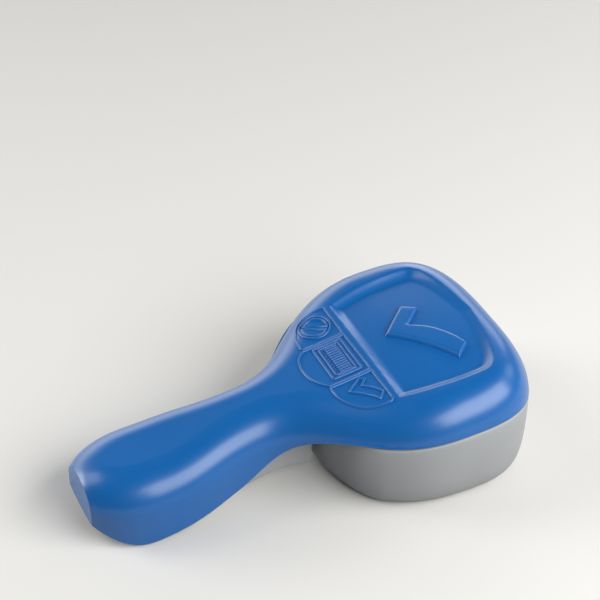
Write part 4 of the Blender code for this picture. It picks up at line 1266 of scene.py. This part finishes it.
screw_tree, given = node_tree("housing_screw", {
    "Head radius": SCREW_HEAD_RADIUS, "Head height": SCREW_HEAD_HEIGHT,
    "Cross length": CROSS_LENGTH, "Cross width": CROSS_WIDTH,
})
head = grow(
    screw_tree, "GeometryNodeMeshCone", Vertices=HEAD_SIDES, Radius_Top=given["Head radius"],
    Radius_Bottom=HEAD_TAPER * SCREW_HEAD_RADIUS, Depth=given["Head height"],
)
shank = grow(
    screw_tree, "GeometryNodeMeshCylinder", Vertices=SHANK_SIDES, Radius=SHANK_RADIUS, Depth=SHANK_LENGTH
)
shank_z = SCREW_HEAD_HEIGHT + SHANK_LENGTH / 2 - SHANK_OVERLAP
raised = grow(screw_tree, "GeometryNodeTransform", Geometry=shank, Translation=(0, 0, shank_z))
screw = grow(screw_tree, "GeometryNodeMeshBoolean", {"operation": "UNION"}, Mesh_2=[head, raised])
long, wide = given["Cross length"], given["Cross width"]
for x, y, depth in zip((long, wide), (wide, long), CROSS_DEPTHS):
    size = grow(screw_tree, "ShaderNodeCombineXYZ", X=x, Y=y, Z=2 * depth)
    arm = grow(screw_tree, "GeometryNodeMeshCube", Size=size)
    screw = grow(
        screw_tree, "GeometryNodeMeshBoolean", {"operation": "DIFFERENCE"}, Mesh_1=screw, Mesh_2=arm
    )
copies = grow(screw_tree, "GeometryNodeInstanceOnPoints", Points=given["Geometry"], Instance=screw)
end_tree(screw_tree, copies, finishes["steel"])
print("screw tree:", len(screw_tree.nodes), "nodes")

# %% Place the screws
spots = bpy.data.meshes.new("screw_places")
head_z, grip_z = (top - WELL_ROOF - SCREW_HEAD_HEIGHT for top in (HEAD_BOSS_TOP, GRIP_BOSS_TOP))
spots.from_pydata([(x, y, head_z) for x, y in head_bosses] + [(*grip_boss, grip_z)], [], [])
screws = grown_piece("housing_screws", spots, screw_tree, {})
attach(screws, "housing")
print("screws:", len(screws.data.polygons), "faces,", in_mm(screws.dimensions), "mm overall")

# %% [markdown]
# ## The trigger
#
# The trigger is a grey lever with a shallow finger hollow along its lower edge. It turns on a pin at
# its rear end. Its side view is drawn, pulled out to its width, and its long edges are rounded. The
# normals are weighted by face size, which keeps the broad sides flat beside the round edges.

# %% Side view of the trigger
TRIGGER_EDGE = ((0.0432, 0.0088), (0.054, 0.0049), (0.073, 0.0084), (0.0845, 0.0066))
TRIGGER_TUCK, FRONT_ROUND = 0.0026, 0.0012
HUB_FIRST, HUB_LAST = 60, 180
LOWER_STEPS, FRONT_STEPS, UPPER_STEPS, HUB_STEPS = 70, 8, 50, 16


def trigger_side():
    """The trigger's side view: its lower edge, rounded front corner, top and the hub round the pin."""
    trigger_edge = smooth_curve(TRIGGER_EDGE)
    low_x = np.linspace(PIVOT_X - HUB_RADIUS, TRIGGER_FRONT_X - FRONT_ROUND, LOWER_STEPS)
    corner = (TRIGGER_FRONT_X - FRONT_ROUND, trigger_edge(TRIGGER_FRONT_X) + FRONT_ROUND)
    top_x = np.linspace(TRIGGER_FRONT_X, PIVOT_X + HUB_RADIUS, UPPER_STEPS)
    return np.vstack((
        np.stack((low_x, trigger_edge(low_x)), axis=1),
        circle(corner, FRONT_ROUND, -90, 0, FRONT_STEPS)[1:],
        np.stack((top_x, rim(top_x) + TRIGGER_TUCK), axis=1),
        circle((PIVOT_X, PIVOT_Z), HUB_RADIUS, HUB_FIRST, HUB_LAST, HUB_STEPS),
    ))


side_view = trigger_side()
print("trigger:", len(side_view), "points round its side view")

# %% Build the trigger
TRIGGER_ROUND, TRIGGER_ROUND_STEPS, TRIGGER_SHARP = 0.0008, 5, math.radians(50)


def make_trigger():
    shape = bmesh.new()
    near, far = (
        shape.faces.new([shape.verts.new((x + TO_ROW[0], y, z)) for x, z in side_view])
        for y in (-TRIGGER_WIDTH / 2, TRIGGER_WIDTH / 2)
    )
    for i in range(len(side_view)):
        j = (i + 1) % len(side_view)
        shape.faces.new((near.verts[i], near.verts[j], far.verts[j], far.verts[i]))
    bmesh.ops.recalc_face_normals(shape, faces=shape.faces)
    long_edges = [*near.edges, *far.edges]
    round_edges(shape, long_edges, TRIGGER_ROUND, TRIGGER_ROUND_STEPS, clamp_overlap=True)
    made = linked("grey_trigger", as_mesh("grey_trigger", shape))
    made.data.shade_smooth()
    made.data.set_sharp_from_angle(angle=TRIGGER_SHARP)
    made.data.materials.append(grey)
    made.modifiers.new("weighted", "WEIGHTED_NORMAL").keep_sharp = True
    return as_plain(made)


grey_trigger = make_trigger()
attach(grey_trigger, "trigger")
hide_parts("trigger")
print("trigger:", len(grey_trigger.data.polygons), "faces")

# %% [markdown]
# ## The floor
#
# The object stands on a plain pale floor. A pale floor throws much light up at the sides, which the
# photograph doesn't show, so the floor is darker for the light that bounces than for the eye and for
# reflections. The lamps reach only the middle of it. Further out the floor glows in its own colour,
# for the eye and for reflections alone, so that a low view doesn't end in the dark.

# %% Floor
FLOOR_COLOUR, FLOOR_BOUNCE, NO_LIGHT = (0.80, 0.79, 0.76), (0.32, 0.32, 0.31), (0.0, 0.0, 0.0)
FLOOR_ROUGHNESS, FLOOR_HALF, GLOW_FADE = 0.90, 30.0, (0.42, 0.80)


def eased(value, start, end, first, last):
    """A smooth step of a value, from one level to another."""
    smooth = {"interpolation_type": "SMOOTHSTEP"}
    return value.add("MapRange", settings=smooth, i0=value, i1=start, i2=end, i3=first, i4=last)


floor_finish, shader, spot = finish(
    "floor", FLOOR_COLOUR, FLOOR_ROUGHNESS, Specular_IOR_Level=0.0, Emission_Strength=1.0
)
ray = spot.add("LightPath")
seen = ray
for kind in ("Is Glossy Ray", "Is Transmission Ray"):
    seen = seen + Sock(ray.tree, ray.socket.node.outputs[kind])
away = spot.add("VectorMath", out=1, settings={"operation": "LENGTH"}, i0=spot)
glow = eased(away, *GLOW_FADE, 0.0, 1.0)
feed(
    shader, Base_Color=seen.mix(FLOOR_BOUNCE, glow.mix(FLOOR_COLOUR, NO_LIGHT)),
    Emission_Color=(seen * glow).mix(NO_LIGHT, FLOOR_COLOUR),
)
floor_finish.cycles.emission_sampling = "NONE"
corners = [(x * FLOOR_HALF, y * FLOOR_HALF, 0) for x, y in ((-1, -1), (1, -1), (1, 1), (-1, 1))]
floor = linked("floor", bpy.data.meshes.new("floor"))
floor.data.from_pydata(corners, [], [(0, 1, 2, 3)])
floor.data.materials.append(floor_finish)
print("floor:", 2 * FLOOR_HALF, "m wide, with its glow from", GLOW_FADE[0], "m out")

# %% [markdown]
# ## The lamps and the room
#
# Five soft lamps put the long highlights where the real ones lie: along the grip's shoulder, on the
# front corner, in the dish and at the butt. Large lamps are chosen because a small one would leave a
# hard spot on a satin surface.

# %% Lamps
LAMPS = {  # place, the point it is turned to, width and height, power in watts
    "key_lamp": ((0.37, -0.58, 0.56), (0, 0, 0.02), (0.95, 0.58), 10.2),
    "front_lamp": ((0.75, 0.05, 0.45), (0.04, 0, 0.02), (0.30, 0.30), 0.5),
    "dish_lamp": ((0.72, 0.78, 0.36), (0.03, 0, 0.03), (0.60, 0.32), 1.3),
    "butt_lamp": ((-0.56, 0.36, 0.72), (-0.06, 0, 0.02), (0.42, 0.42), 1.6),
    "end_lamp": ((-0.62, 0.42, 0.25), (-0.06, 0, 0.01), (0.30, 0.30), 1.9),
}

for name, (place, target, size, power) in LAMPS.items():
    light = bpy.data.lights.new(name, "AREA")
    light.shape = "RECTANGLE"
    light.size, light.size_y = size
    light.energy = power
    aim(linked(name, light), place, Vector(target) - Vector(place))
print(len(LAMPS), "lamps of", sum(values[-1] for values in LAMPS.values()), "watts in all")

# %% [markdown]
# The room's own light is dim overhead and on the camera's side. Low behind the object it is pale, as
# a sweep of white paper would be, and there it draws the light lines on the far rim and in the dish.
# Only the direction in the room sets it, so it is the same for every camera.

# %% Room light
ZENITH, HORIZON_NEAR, HORIZON_FAR = 0.06, 0.06, 2.1
HORIZON_FADE = (0.33, 0.55)
FAR_SIDE, FAR_FADE = (-0.25, 1.0, 0.0), (0.46, 0.80)

world = bpy.data.worlds.new("soft_room")
scene.world = world
world.use_nodes = True
room = Sock(world.node_tree, world.node_tree.nodes.new("ShaderNodeTexCoord").outputs["Generated"])
far = room.add("VectorMath", out=1, settings={"operation": "DOT_PRODUCT"}, i0=room, i1=FAR_SIDE)
horizon = eased(far, *FAR_FADE, HORIZON_NEAR, HORIZON_FAR)
low = eased(room.add("SeparateXYZ", out=2, Vector=room), *HORIZON_FADE, 1.0, 0.0)
background = world.node_tree.nodes["Background"]
background.inputs["Color"].default_value = (1, 1, 1, 1)
feed(background, Strength=ZENITH + horizon * low)
print("room light:", len(world.node_tree.nodes), "nodes")
